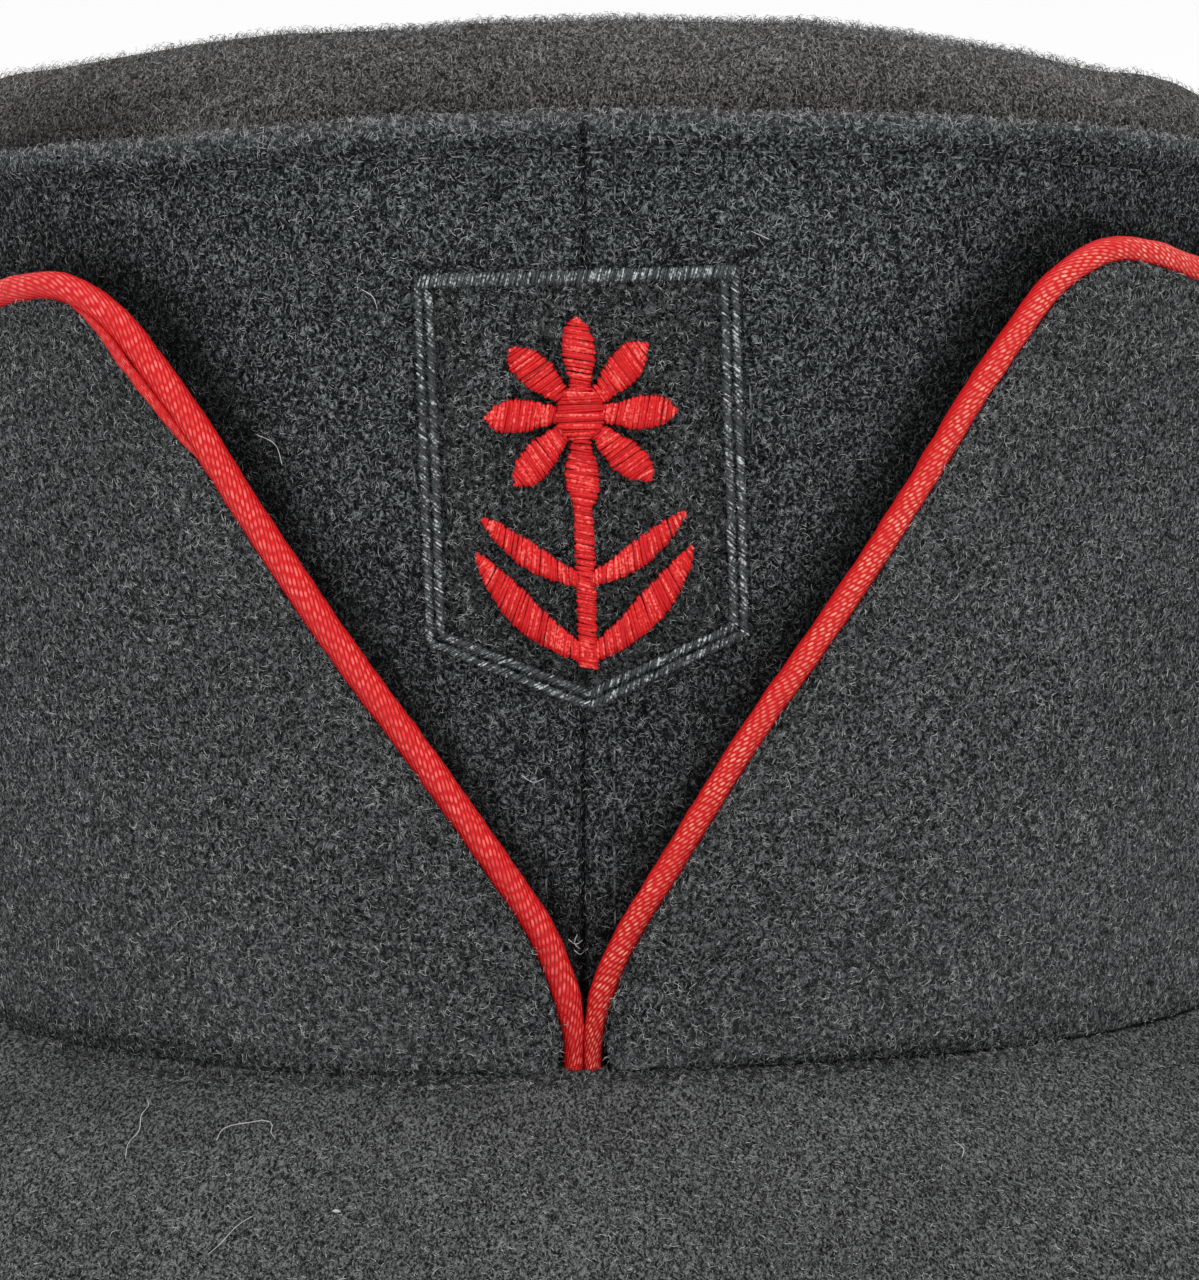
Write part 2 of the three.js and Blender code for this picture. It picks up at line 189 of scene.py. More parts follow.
class Finish:
    def __init__(self, name):
        self.material = bpy.data.materials.new(name)
        self.material.use_nodes = True
        self.tree = self.material.node_tree
        self.surface = self.tree.nodes["Principled BSDF"]

    def node(self, kind, settings=None, inputs=None):
        """Makes a node with its settings, fills its inputs and returns its outputs."""
        made = self.tree.nodes.new(kind)
        for name, value in (settings or {}).items():
            setattr(made, name, value)
        for key, value in (inputs or {}).items():
            self.feed(made.inputs[key], value)
        return [Flow(self, socket) for socket in made.outputs]

    def feed(self, socket, value):
        if isinstance(value, Flow):
            self.tree.links.new(value.socket, socket)
        else:
            socket.default_value = value

    def mix(self, share, first, second):
        return self.node("ShaderNodeMix", {"data_type": "RGBA"},
                         {0: share, 6: first, 7: second})[2]

    def noise(self, vector, size, detail=2.0, roughness=0.5):
        """Noise whose grains are about size millimetres across."""
        return self.node("ShaderNodeTexNoise", {}, {
            "Vector": vector, "Scale": 1 / (size * MM), "Detail": detail, "Roughness": roughness})

    def combed(self, vector, turn, stretch):
        """Coordinates that draw a pattern out along one direction."""
        return self.node("ShaderNodeMapping", {"vector_type": "TEXTURE"}, {
            "Vector": vector, "Rotation": turn, "Scale": (stretch, 1, 1)})[0]

    def wear(self, **sockets):
        for name, value in sockets.items():
            self.feed(self.surface.inputs[name.replace("_", " ")], value)
        return self.material


def grey(value, warm=0.0):
    return (value * (1 + warm), value, value * (1 - 0.4 * warm), 1)


def dyed(colour, share=1):
    return (*(part * share for part in colour), 1)


print("shader helpers ready")

# %% [markdown]
# ## Felt
# Melton is wool cloth, fulled until the weave disappears under a mat of short fibres. From close
# up it is a dark ground with paler hairs that lie in every direction, in clumps of a millimetre or
# so. Noises in two sizes, each drawn out along several directions and cut down to the thin lines
# where it crosses its middle value, give the hairs. Softer noises give the clumps. An attribute
# called tone, kept on the cloth's points, carries painted light and shade: above 0 it paints light
# on the hairs, below 0 it paints shade.

# %% Felt material
EVERY_WAY = [(0, 0.5, 0.3), (0, -0.75, 1.1), (0.6, 1.5, 0.2)]
FORWARD = [(0, 0, 1.25), (0.3, 0, 1.6), (-0.3, 0, 1.95)]
FINE_HAIR = 0.34
BOLD_HAIR = 0.52
TUFT = 0.42
COMBED_TUFT = 0.3


def felt(name, ground, hair, clump, warm, bare, lays=EVERY_WAY, stretch=3.0, curl=1.0):
    """Ground and hair are greys. Clump says how dark the clumps are and bare how wide they part."""
    finish = Finish(name)
    place = finish.node("ShaderNodeTexCoord")[3]
    drift = finish.noise(place, 0.9, 1.0)[1]
    bent = finish.node("ShaderNodeVectorMath", {"operation": "MULTIPLY_ADD"}, {
        0: drift, 1: (curl * MM,) * 3, 2: place})[0]

    def hair_lines(size, low):
        """Thin lines in several directions, the strongest at each place."""
        strongest = None
        for i, turn in enumerate(lays):
            along = finish.combed(bent, turn, stretch)
            lines = finish.noise(along, size * (1 + 0.08 * i), 0.0)[0]
            line = lines.ridge().between(low, 1.0)
            strongest = line if strongest is None else line.apply("MAXIMUM", strongest)
        return strongest

    fine = hair_lines(FINE_HAIR, 0.8)
    bold = hair_lines(BOLD_HAIR, 0.85)
    tuft_place, tuft_size = bent, TUFT
    if lays is FORWARD:
        tuft_place, tuft_size = finish.combed(bent, lays[1], stretch / 2), COMBED_TUFT
    tufts = finish.noise(tuft_place, tuft_size, 2.0, 0.7)[0].between(bare, bare + 0.26)
    clumps = finish.noise(place, 2.8, 2.0)[0].between(0.35, 0.65)
    wide = finish.noise(place, 20.0, 2.0)[0].between(0.3, 0.7)
    tone = finish.node("ShaderNodeAttribute", {"attribute_name": "tone"})[2]
    # From the ground up: tufts, fine hairs, dark clumps, bold hairs and broad drifts
    shade = finish.mix(tufts, grey(ground * 0.25, warm), grey(ground, warm))
    shade = finish.mix(fine * (0.06 + 0.8 * tufts), shade, grey(hair * 0.6, warm))
    shade = finish.mix(clumps * clump, shade, grey(ground * 0.4, warm))
    shade = finish.mix(bold * (0.04 + 0.86 * tufts), shade, grey(hair, warm))
    shade = finish.mix(wide * 0.2, shade, grey(ground * 0.6, warm))
    # A tone above 0 paints light on the hairs, one below 0 paints shadow over everything
    hairs = fine.apply("MAXIMUM", bold) * 0.7 + tufts * 0.3
    shade = finish.mix(tone.apply("MAXIMUM", 0) * hairs, shade, grey(hair * 1.3, warm))
    shade = finish.mix(tone.below_zero(), shade, grey(0.002))
    height = fine * 0.5 + bold * 0.6 + tufts * 0.5 + clumps * 0.4
    bump = finish.node("ShaderNodeBump", {}, {
        "Strength": 0.7, "Distance": 0.12 * MM, "Height": height})[0]
    return finish.wear(Base_Color=shade, Roughness=0.95, Normal=bump, Specular_IOR_Level=0.02)


crown_felt = felt("crown_wool", ground=0.006, hair=0.275, clump=0.55, warm=-0.09, bare=0.44)
top_felt = felt("top_wool", ground=0.013, hair=0.215, clump=0.4, warm=0.09, bare=0.4,
                lays=FORWARD, stretch=12.0, curl=0.5)
cuff_felt = felt("cuff_wool", ground=0.013, hair=0.2, clump=0.35, warm=-0.05, bare=0.385)
peak_felt = felt("peak_wool", ground=0.014, hair=0.19, clump=0.3, warm=-0.02, bare=0.36,
                 lays=FORWARD, stretch=5.0, curl=0.6)
patch_felt = felt("patch_wool", ground=0.013, hair=0.24, clump=0.3, warm=-0.06, bare=0.385)
print("felts:", crown_felt.name, top_felt.name, cuff_felt.name, peak_felt.name, patch_felt.name)

# %% [markdown]
# ## The oval
# Everything on the cap is wrapped round one oval, a little squarer than an ellipse. A point is
# given by its angle from the front, its distance outside the oval and its height.


# %% Points round the oval
def oval_radius(angle, out):
    along = abs(math.cos(angle)) / (HEAD_LENGTH / 2 + out)
    across = abs(math.sin(angle)) / (HEAD_WIDTH / 2 + out)
    return (along**OVAL_POWER + across**OVAL_POWER) ** (-1 / OVAL_POWER)


def on_oval(angle, out, up):
    radius = oval_radius(angle, out)
    return Vector((radius * math.sin(angle), -radius * math.cos(angle), up))


def on_table(point):
    lowest = SETTLE - (RIM_LENGTH - point.y) * math.tan(TILT)
    return Vector((point.x, point.y, max(point.z, lowest)))


GIRTH_STEPS = 720
girth_angles = np.linspace(0, math.pi, GIRTH_STEPS + 1)
girth_points = np.array([on_oval(a, CROWN_WALL + GAP + CUFF_WALL / 2, 0) for a in girth_angles])
girth = np.concatenate([[0], np.cumsum(np.linalg.norm(np.diff(girth_points, axis=0), axis=1))])
HALF_GIRTH = float(girth[-1])


def angle_at(length):
    """The angle that a length of cloth reaches, measured round the rim from the front."""
    return math.copysign(float(np.interp(abs(length), girth, girth_angles)), length)


def length_at(angle):
    return math.copysign(float(np.interp(abs(angle), girth_angles, girth)), angle)


print(f"the rim is {2 * HALF_GIRTH:.0f} mm round, outside")

# %% [markdown]
# ## Cloth as a bent grid
# A flat grid is the natural start for cloth: it is cut flat and then bent. `bent_cloth` makes one
# with the grid operator, sends each of its points through a function, and joins what meets. Its
# columns are stations along the cap. Its rows are the marks of a section that runs up the outside,
# over the edge and down the inside, which gives the cloth its true thickness in the same step.

# %% Cloth and piece helpers


def ripple(point, size, height):
    return height * noise.noise(point / size)


def add_piece(name, mesh, material, solids=()):
    piece = bpy.data.objects.new(name, mesh)
    bpy.context.scene.collection.objects.link(piece)
    mesh.materials.clear()
    mesh.materials.append(material)
    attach(piece, "root")
    if solids:
        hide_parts(*solids)
    mesh.calc_loop_triangles()
    print(f"{name}: {len(mesh.loop_triangles)} triangles")
    return piece


def to_mesh(bm, name):
    bm.transform(PLACE)
    for face in bm.faces:
        face.smooth = True
    mesh = bpy.data.meshes.new(name)
    bm.to_mesh(mesh)
    bm.free()
    return mesh


def bent_cloth(name, stations, section, place, tone):
    """Place and tone take a station and the kind and value of one of the section's marks."""
    columns, rows = len(stations) - 1, len(section)
    bm = bmesh.new()
    bm.loops.layers.uv.new("UVMap")
    bmesh.ops.create_grid(bm, x_segments=columns, y_segments=rows, size=0.5, calc_uvs=True)
    tones = bm.verts.layers.float.new("tone")
    for vert in bm.verts:
        station = stations[round((vert.co.x + 0.5) * columns)]
        mark = section[round((vert.co.y + 0.5) * rows) % rows]
        vert.co = place(station, *mark)
        vert[tones] = tone(station, *mark)
    bmesh.ops.remove_doubles(bm, verts=bm.verts, dist=0.002)
    holes = [edge for edge in bm.edges if edge.is_boundary]
    if holes:
        bmesh.ops.holes_fill(bm, edges=holes, sides=0)
    bmesh.ops.recalc_face_normals(bm, faces=bm.faces)
    return to_mesh(bm, name)


def spaced(low, high, steps):
    return [low + (high - low) * i / steps for i in range(steps + 1)]


def bell(value, middle, width):
    return math.exp(-(((value - middle) / width) ** 2))


def smooth_step(value, low, high):
    share = min(max((value - low) / (high - low), 0), 1)
    return share * share * (3 - 2 * share)


print("cloth helpers ready")

# %% [markdown]
# ## The line of the cuff
# The cuff's upper edge is drawn on the flat cloth first: across is the distance from the notch,
# up the height above the rim. It climbs out of the foot of the V, turns over a soft corner and
# slopes gently down to the back. The cord and both flaps all take their place from this line.

# %% Cuff line
NOTCH_LINE = [
    (0.018, 0.005), (0.021, 0.05), (0.041, 0.11), (0.08, 0.175), (0.155, 0.255), (0.3, 0.4),
    (0.46, 0.555), (0.6, 0.7), (0.72, 0.83), (0.8, 0.905), (0.87, 0.96), (0.97, 0.995),
    (1.08, 0.993), (1.25, 0.968),
]
SIDE_LINE = [(0.3, 0.2), (0.6, 0.6), (0.85, 0.93), (1, 1)]
LINE_STEPS = 1200
CORD_FOOT = -0.8
NOTCH_EASE = {1: 0.9, -1: 0}


def smooth_line(points, steps):
    """A smooth line through the points, at even steps along it."""
    points = [np.array(p, float) for p in points]
    points = [2 * points[0] - points[1], *points, 2 * points[-1] - points[-2]]
    fine = []
    for p0, p1, p2, p3 in zip(points, points[1:], points[2:], points[3:]):
        knots = np.cumsum([0, *(np.linalg.norm(b - a) ** 0.5 for a, b in
                                ((p0, p1), (p1, p2), (p2, p3)))])
        for t in np.linspace(knots[1], knots[2], 40, endpoint=False):
            a1 = blend(p0, p1, knots[0], knots[1], t)
            a2 = blend(p1, p2, knots[1], knots[2], t)
            a3 = blend(p2, p3, knots[2], knots[3], t)
            b1 = blend(a1, a2, knots[0], knots[2], t)
            b2 = blend(a2, a3, knots[1], knots[3], t)
            fine.append(blend(b1, b2, knots[1], knots[2], t))
    fine.append(points[-2])
    fine = np.array(fine)
    run = np.concatenate([[0], np.cumsum(np.linalg.norm(np.diff(fine, axis=0), axis=1))])
    even = np.linspace(0, run[-1], steps + 1)
    line = np.stack([np.interp(even, run, fine[:, k]) for k in (0, 1)], 1)
    return [Vector(p) for p in line.tolist()], float(run[-1])


def blend(first, second, start, end, t):
    return first * (end - t) / (end - start) + second * (t - start) / (end - start)


cuff_lines = {}
for side in SIDES:
    corner_across, corner_up = NOTCH_LINE[-1]
    start, top = corner_across * REACH, corner_up * NOTCH_HEIGHT[side]
    back = CUFF_BACK + GAP + CORD / 2
    marks = [(x * REACH + NOTCH_EASE[side] * bell(y, 0.21, 0.1), y * NOTCH_HEIGHT[side])
             for x, y in NOTCH_LINE]
    marks.insert(0, (marks[0][0], CORD_FOOT))
    marks += [(start + (HALF_GIRTH - GAP / 2 - start) * x, top + (back - top) * y)
              for x, y in SIDE_LINE]
    cuff_lines[side] = smooth_line(marks, LINE_STEPS)
    print(f"cord on side {side:+d}: {cuff_lines[side][1]:.0f} mm long")


def line_at(side, run):
    """Across, up and direction of the cuff's line, at a length along it."""
    line, whole = cuff_lines[side]
    place = min(max(run / whole, 0), 1) * LINE_STEPS
    i = min(int(place), LINE_STEPS - 1)
    here = line[i].lerp(line[i + 1], place - i)
    ahead = line[min(i + 4, LINE_STEPS)] - line[max(i - 4, 0)]
    return here.x, here.y, ahead.normalized()

# %% [markdown]
# ## The crown
# Its two halves are sewn together at the front and the back. The seam is pressed open and held by
# a row of stitches on each side, so the cloth dips at the seam and again at each row. Along the top
# the edge is rolled over and stitched, which leaves a soft ridge above a line of small dimples.


# %% Crown shape
SLUMP = 2.0
SLUMP_AT = math.radians(-34)
SLUMP_WIDTH = math.radians(26)


def crown_edge(angle):
    slump = SLUMP * bell(angle, SLUMP_AT, SLUMP_WIDTH)
    return CROWN_MIDDLE + (CROWN_FRONT - CROWN_MIDDLE) * math.cos(angle) - slump


def crown_out(angle, up):
    flare = FRONT_FLARE + (SIDE_FLARE - FRONT_FLARE) * math.sin(angle) ** 2
    return CROWN_WALL + flare * max(up / crown_edge(angle), 0) ** FLARE_POWER


STITCH_ROW = 3.6
EDGE_ROW = WELT - 0.2
SEAM_DIP = 1.0
ROW_DIP = 0.3


def seam_relief(angle):
    """How far the cloth stands out near the front or back seam."""
    aside = min(abs(angle), math.pi - abs(angle)) * HEAD_LENGTH / 2
    dip = -SEAM_DIP * bell(aside, 0, 0.27) - ROW_DIP * bell(aside, STITCH_ROW, 0.5)
    return dip + 0.18 * bell(aside, 1.6, 0.9) - 0.25 * bell(aside, 0, 0.9)


def crown_face(angle, up):
    """A point on the crown's outer face."""
    below = crown_edge(angle) - up
    welt = 0.75 * bell(below, 1.7, 1.5) - 0.35 * bell(below, EDGE_ROW, 0.5)
    point = on_oval(angle, crown_out(angle, up), up)
    soft = ripple(point, 26, 0.35) + ripple(point, 9, 0.12)
    out = crown_out(angle, up) + welt + soft + seam_relief(angle) * min(below / 1.5 + 0.35, 1)
    return on_oval(angle, out, up + ripple(point, 12, 0.25) * bell(below, 0, 3))


ROLL_RADIUS = 1.7
EDGE_START = 0.995
crown_rows = [("out", share) for share in spaced(0.01, 0.9, 56)]
crown_rows += [("out", share) for share in spaced(0.91, EDGE_START, 20)]
crown_rows += [("roll", turn) for turn in spaced(0.1, 1.0, 7)]
crown_rows += [("in", share) for share in spaced(0.96, 0.02, 14)]
crown_rows += [("hem", turn) for turn in spaced(0.0, 1.0, 4)]


def crown_point(angle, kind, value):
    edge = crown_edge(angle)
    if kind == "out":
        point = crown_face(angle, value * edge)
    elif kind == "roll":
        turn = math.pi * value
        inward = on_oval(angle, 0, 0) - on_oval(angle, ROLL_RADIUS * (1 - math.cos(turn)), 0)
        point = crown_face(angle, EDGE_START * edge) + inward
        point.z += 0.7 * math.sin(turn) - 1.2 * value**3
    elif kind == "in":
        point = on_oval(angle, crown_out(angle, value * edge) - CROWN_WALL, value * edge)
    else:
        point = on_oval(angle, CROWN_WALL * value, 0.4 - 0.4 * math.sin(math.pi * value))
    return on_table(point)


def seam_dense():
    """Angles round the cap, close together at both seams and closer at the front than the back."""
    girth_mm = HEAD_LENGTH / 2 * math.pi
    runs = [0.0]
    while runs[-1] < girth_mm:
        near_seam = min(runs[-1], girth_mm - runs[-1])
        runs.append(runs[-1] + min(0.12 + 0.12 * near_seam, 0.4 + 0.011 * runs[-1], 1.6))
    half = [math.pi * run / runs[-1] for run in runs]
    return [-angle for angle in reversed(half)] + half[1:]


def front_dense(columns, packing=0.62):
    """Angles that lie closer together at the front, where the camera is."""
    turns = [2 * math.pi * share for share in spaced(-0.5, 0.5, columns)]
    return [turn - packing * math.sin(turn) for turn in turns]


# How far the painted shade beside each cord reaches, and a crease beside the seam painted dark
FOLD_SHADE_REACH = {1: 2.8, -1: 2.0}
CREASE_ACROSS = (-5.0, 0.4)
CREASE_UP = (20.0, 14.6)
near_cord = {side: np.array([line[i][:] for i in range(0, LINE_STEPS, 12)])
             for side, (line, _) in cuff_lines.items()}


def crown_painted_shading(angle, kind, value):
    """Painted light along the rolled edge. Painted shade beside the cords, at the seam, in the
    stitch row under the edge and in a crease.

    What the cuff hides gets -1, which paints it black as shade, and no nap is sown there.
    """
    edge = crown_edge(angle)
    below = {"out": (1 - value) * edge, "roll": 0.0}.get(kind, edge)
    # Painted light along the rolled edge
    painted_edge_light = 0.16 * bell(below, 0.2, 1.6)
    if kind != "out":
        return painted_edge_light
    side = 1 if angle > 0 else -1
    here = np.array([abs(length_at(angle)), value * edge])
    if here[1] < np.interp(here[0], near_cord[side][:, 0], near_cord[side][:, 1]) - 4:
        return -1.0
    if abs(angle) > 1.2:
        return painted_edge_light
    # Painted shade beside each cord, where the cuff stands off the crown
    aside = max(float(np.linalg.norm(near_cord[side] - here, axis=1).min()) - CORD / 2, 0)
    dark = 0.45 * bell(aside, 0, FOLD_SHADE_REACH[side]) + 0.25 * bell(aside, 0, 3.5 * FOLD_SHADE_REACH[side])
    across = angle * HEAD_LENGTH / 2
    # Painted shade in the seam's dip and in the stitch row under the edge
    dark += 0.5 * bell(across, 0, 0.3) + 0.3 * bell(below, EDGE_ROW, 0.35)
    # Painted shade along a crease beside the seam
    drop = (CREASE_UP[1] - CREASE_UP[0]) * smooth_step(across, *CREASE_ACROSS)
    off_crease = here[1] - (CREASE_UP[0] + drop)
    dark += 0.6 * bell(off_crease, 0, 0.6) * (CREASE_ACROSS[0] < across < CREASE_ACROSS[1])
    return painted_edge_light - min(dark, 0.9)


crown_mesh = bent_cloth("crown_side_felt", seam_dense(), crown_rows, crown_point, crown_painted_shading)
crown = add_piece("crown_side_felt", crown_mesh, crown_felt,
                  ["crown_side_left", "crown_side_right"])

# %% [markdown]
# ## The domed top
# The top is one oval of felt, pushed up into a shallow dome. It starts just inside the rolled
# edge. The cloth isn't quite even, so broad soft waves run over it.


# %% Dome
def dome_wave(angle, share):
    """Broad folds that lie across the top, deepest on the left and just behind the edge."""
    point = Vector((share * math.sin(angle) * 3.0, -share * math.cos(angle) * 11.0, 2.7))
    left = smooth_step(-math.sin(angle), -0.3, 0.8)
    return noise.noise(point) * share * (0.5 + 0.8 * left) - 0.5 * bell(share, 0.95, 0.03) * left


def dome_shoulder(angle, share):
    """The top stands a little fuller above each side of the head."""
    return 2.5 * bell(abs(angle), 1.3, 0.3) * bell(share, 0.85, 0.1)


# Painted light on the folds' crests, painted shade in their hollows and just inside the edge
def dome_painted_shading(angle, kind, share):
    if kind != "top":
        return 0
    return 0.5 * max(min(dome_wave(angle, share), 1), -1) - 0.25 * bell(share, 0.985, 0.012)


def dome_face(angle, share, lower=0.0):
    edge = crown_edge(angle)
    radius = oval_radius(angle, crown_out(angle, edge) - CROWN_WALL - GAP) * share
    rise = DOME_RISE * (1 - share**DOME_POWER) ** DOME_SOFTNESS
    slump = SLUMP * bell(angle, SLUMP_AT, SLUMP_WIDTH)
    up = CROWN_MIDDLE + (edge + slump - CROWN_MIDDLE) * share - slump * share**6 + rise - lower
    point = Vector((radius * math.sin(angle), -radius * math.cos(angle), up))
    if not lower:
        point.z += ripple(point, 24, 0.8) + ripple(point, 9, 0.3)
        point.z += dome_wave(angle, share) + dome_shoulder(angle, share)
    return point


dome_rows = [("tuck", 3.0), ("tuck", 1.4)]
dome_rows += [("top", share) for share in (1, 0.995, 0.988, 0.98, 0.97, 0.955, 0.94, 0.92)]
dome_rows += [("top", share) for share in spaced(0.9, 0.0, 34)]
dome_rows += [("under", share) for share in spaced(0.0, 0.97, 14)]
DOME_COLUMNS = 420


def dome_point(angle, kind, value):
    if kind == "tuck":
        edge = crown_edge(angle)
        out = crown_out(angle, edge - value) - CROWN_WALL - GAP
        return on_oval(angle, out, edge - value)
    return dome_face(angle, value, CROWN_WALL if kind == "under" else 0.0)


dome_mesh = bent_cloth("crown_top_felt", front_dense(DOME_COLUMNS), dome_rows, dome_point,
                       dome_painted_shading)
dome = add_piece("crown_top_felt", dome_mesh, top_felt, ["crown_top"])

# %% [markdown]
# ## The flaps
# Each flap is felt turned up over the crown. Its wall runs from the rim up the outside, over a
# rounded edge beside the cord, and down inside. The grid's columns fan out from the foot of the V,
# so its faces stay even where the edge stands nearly upright.

# %% How the flaps stand
def cuff_inside(length, up):
    """Distance of a flap's inner face outside the oval: it stands off more near the corner."""
    past = max(abs(length) - REACH, 0) / LEAN_SPREAD
    lean = LEAN_BACK + (LEAN_CORNER - LEAN_BACK) * math.exp(-(past**2))
    base = crown_out(angle_at(length), up) + GAP
    return base + lean * max(up / LEAN_FULL, 0) ** LEAN_POWER


SAG_AT = math.radians(-26)
SAG_WIDTH = math.radians(20)


def sag(angle, up):
    """The left of the rim has dropped a little under the cuff."""
    drop = 0.3 + 2.5 * bell(angle, SAG_AT, SAG_WIDTH)
    return -drop * bell(angle, 0, 1.2) * max(1 - abs(up) / 26, 0) ** 2


# %% Flaps
EDGE_GAP = CORD / 2 - 0.35
FAN = 5.0
FAN_RUN = 80.0
CUFF_COLUMNS = 380
HEM = 0.035
cuff_rows = [("out", share) for share in (0, 0.004, 0.01, 0.02)]
cuff_rows += [("out", share) for share in spaced(HEM, 0.95, 52)]
cuff_rows += [("out", share) for share in (0.965, 0.98)]
cuff_rows += [("edge", turn) for turn in spaced(0.0, 1.0, 8)]
cuff_rows += [("in", share) for share in spaced(0.95, 0.03, 12)]


def flap_point(side, run, kind, value):
    across, up, ahead = line_at(side, run)
    top_across = across + ahead[1] * EDGE_GAP
    top_up = max(up - ahead[0] * EDGE_GAP, 0.8)
    foot = top_across + FAN * math.sin(math.pi * min(run / FAN_RUN, 1))
    half = CUFF_WALL / 2
    share, lift = value, half if kind == "out" else -half
    if kind == "edge":
        turn = math.pi * value
        share = 1 - 0.9 * (1 - math.sin(turn)) / max(top_up, 1.5)
        lift = half * math.cos(turn)
    length = foot + (top_across - foot) * share
    height = top_up * share
    if kind == "out" and value < HEM:
        tuck = 0.9 - 0.6 * smooth_step(side * length, 28, 58)
        lift -= tuck * (1 - value / HEM) ** 2
    out = cuff_inside(length, height) + half + lift
    angle = side * angle_at(length)
    soft = 0
    if kind != "in":
        flat = on_oval(angle, out, height)
        soft = ripple(flat, 30, 0.5) + ripple(flat, 10, 0.14)
    if kind == "out":
        soft -= 0.12 * bell(top_up * (1 - share), 3.4, 1.3)
    point = on_oval(angle, out + soft, height)
    point.z += sag(angle, height)
    return on_table(point)


FLAP_START = 4.2


def flap_runs(side):
    """Stations that lie closer together along the V than round the back."""
    whole = cuff_lines[side][1]
    return [FLAP_START + (whole - FLAP_START) * (0.6 * share + 0.4 * share**2.6)
            for share in spaced(0, 1, CUFF_COLUMNS)]


def rim_painted_shade(angle, share):
    """Painted shade in the fold at the rim, most of all at the front."""
    ahead = 1 - smooth_step(angle, 0.2, 0.62) if angle > 0 else 1 - smooth_step(-angle, 0.5, 0.8)
    return -(0.06 + 0.5 * ahead) * bell(share, 0, 0.026)


# Painted shade in the rim's fold; painted light low on the flap, painted shade near its top
def cuff_painted_shading(side, run, kind, share):
    if kind != "out":
        return 0
    return rim_painted_shade(side * angle_at(line_at(side, run)[0]), share) + 0.25 * (0.45 - share)


flaps = {}
for side, name in SIDES.items():
    mesh = bent_cloth(f"cuff_felt_{name}", flap_runs(side), cuff_rows,
                      partial(flap_point, side), partial(cuff_painted_shading, side))
    flaps[side] = add_piece(f"cuff_felt_{name}", mesh, cuff_felt, [f"cuff_{name}"])

# %% [markdown]
# ## The peak
# A stiff crescent under felt. It starts in a strip under the rim, where it is sewn in, and slopes
# down to an edge that rests on the table. Its section runs over the top, round the edge and back
# underneath.

# %% Peak
PEAK_COLUMNS = 260
PEAK_TURN = 0.94
peak_rows = [("top", share) for share in (-1, -0.6, -0.3, -0.12, -0.04, 0)]
peak_rows += [("top", share) for share in spaced(0.012, PEAK_TURN, 44)]
peak_rows += [("edge", turn) for turn in spaced(0.0, 1.0, 8)]
peak_rows += [("under", share) for share in spaced(PEAK_TURN, 0.0, 14)]
peak_rows += [("under", share) for share in (-0.3, -0.7, -1)]


def peak_point(aside, kind, value):
    angle = aside * PEAK_END
    seam = on_oval(angle, SEAM_OUT, 0)
    step = on_oval(angle + 1e-3, SEAM_OUT, 0) - seam
    outward = Vector((step.y, -step.x, 0)).normalized()
    forward = (Vector((0, -1, 0)) + outward).normalized()
    reach = GAP + PEAK_REACH * (1 - abs(aside) ** PEAK_ROUNDNESS) ** PEAK_FULLNESS
    tip = seam + forward * reach
    flat = 1 - smooth_step(abs(aside), 0.5, 1)
    drop = -(SETTLE - (RIM_LENGTH - tip.y) * math.tan(TILT) + PEAK_EDGE) * flat
    ends = 1 - 0.6 * abs(aside) ** 6
    share = value
    if kind == "edge":
        share = PEAK_TURN + (1 - PEAK_TURN) * math.sin(math.pi * value) ** 0.7
    if share < 0:
        point = seam + outward * (share * SEAM_OUT)
        fall, wall = GAP, CROWN_WALL
    else:
        point = seam + forward * (share * reach)
        fall = GAP + (drop - GAP) * (0.82 * share + 0.18 * share**3)
        wall = PEAK_WALL + (PEAK_EDGE - PEAK_WALL) * share**4
    wall *= ends
    depth = {"top": 0.0, "edge": (1 - math.cos(math.pi * value)) / 2, "under": 1.0}[kind]
    point.z = -fall - wall * depth
    point.z += sag(angle, share * reach)
    if kind != "under":
        point.z += ripple(point, 24, 0.35) + ripple(point, 9, 0.1)
    return on_table(point)


# Painted shade in the fold where the peak meets the cuff
def peak_painted_shade(aside, kind, value):
    return rim_painted_shade(aside * PEAK_END, value) if kind == "top" else 0


peak_mesh = bent_cloth("peak_felt", spaced(-1, 1, PEAK_COLUMNS), peak_rows, peak_point,
                       peak_painted_shade)
peak = add_piece("peak_felt", peak_mesh, peak_felt, ["peak"])

# %% [markdown]
# ## Satin cord
# Piping is a soft cord wrapped in a bias strip of satin. The satin's yarns run diagonally, and each
# one shows as a row of short floats, with painted highlights on the side where the light falls and
# painted shade in the gaps between the yarns. The cord is a grid rolled into a tube along the
# cuff's line. Its UV map measures the run and the turn, so the material can place every float. The
# right cord is a little thinner than the left one, and its floats slant more.

# %% Cord material and shape
CORD_RED = (0.56, 0.006, 0.008)
# The floats' slant, their length and the distance between two rows
FLOATS = {1: (math.radians(27), 1.0, 0.4), -1: (math.radians(22), 1.25, 0.45)}
# Where round each cord the painted highlight is centred, and its painted colour
FLOAT_LIT_AT = {1: 0.15, -1: -0.4}
FLOAT_HIGHLIGHT_PAINT = {1: (1.0, 0.34, 0.23), -1: (0.98, 0.17, 0.14)}
CORD_SIZE = {1: 2.8, -1: 3.25}
CORD_AROUND = 24
CORD_STEPS = 1400
UV_LENGTH = 100


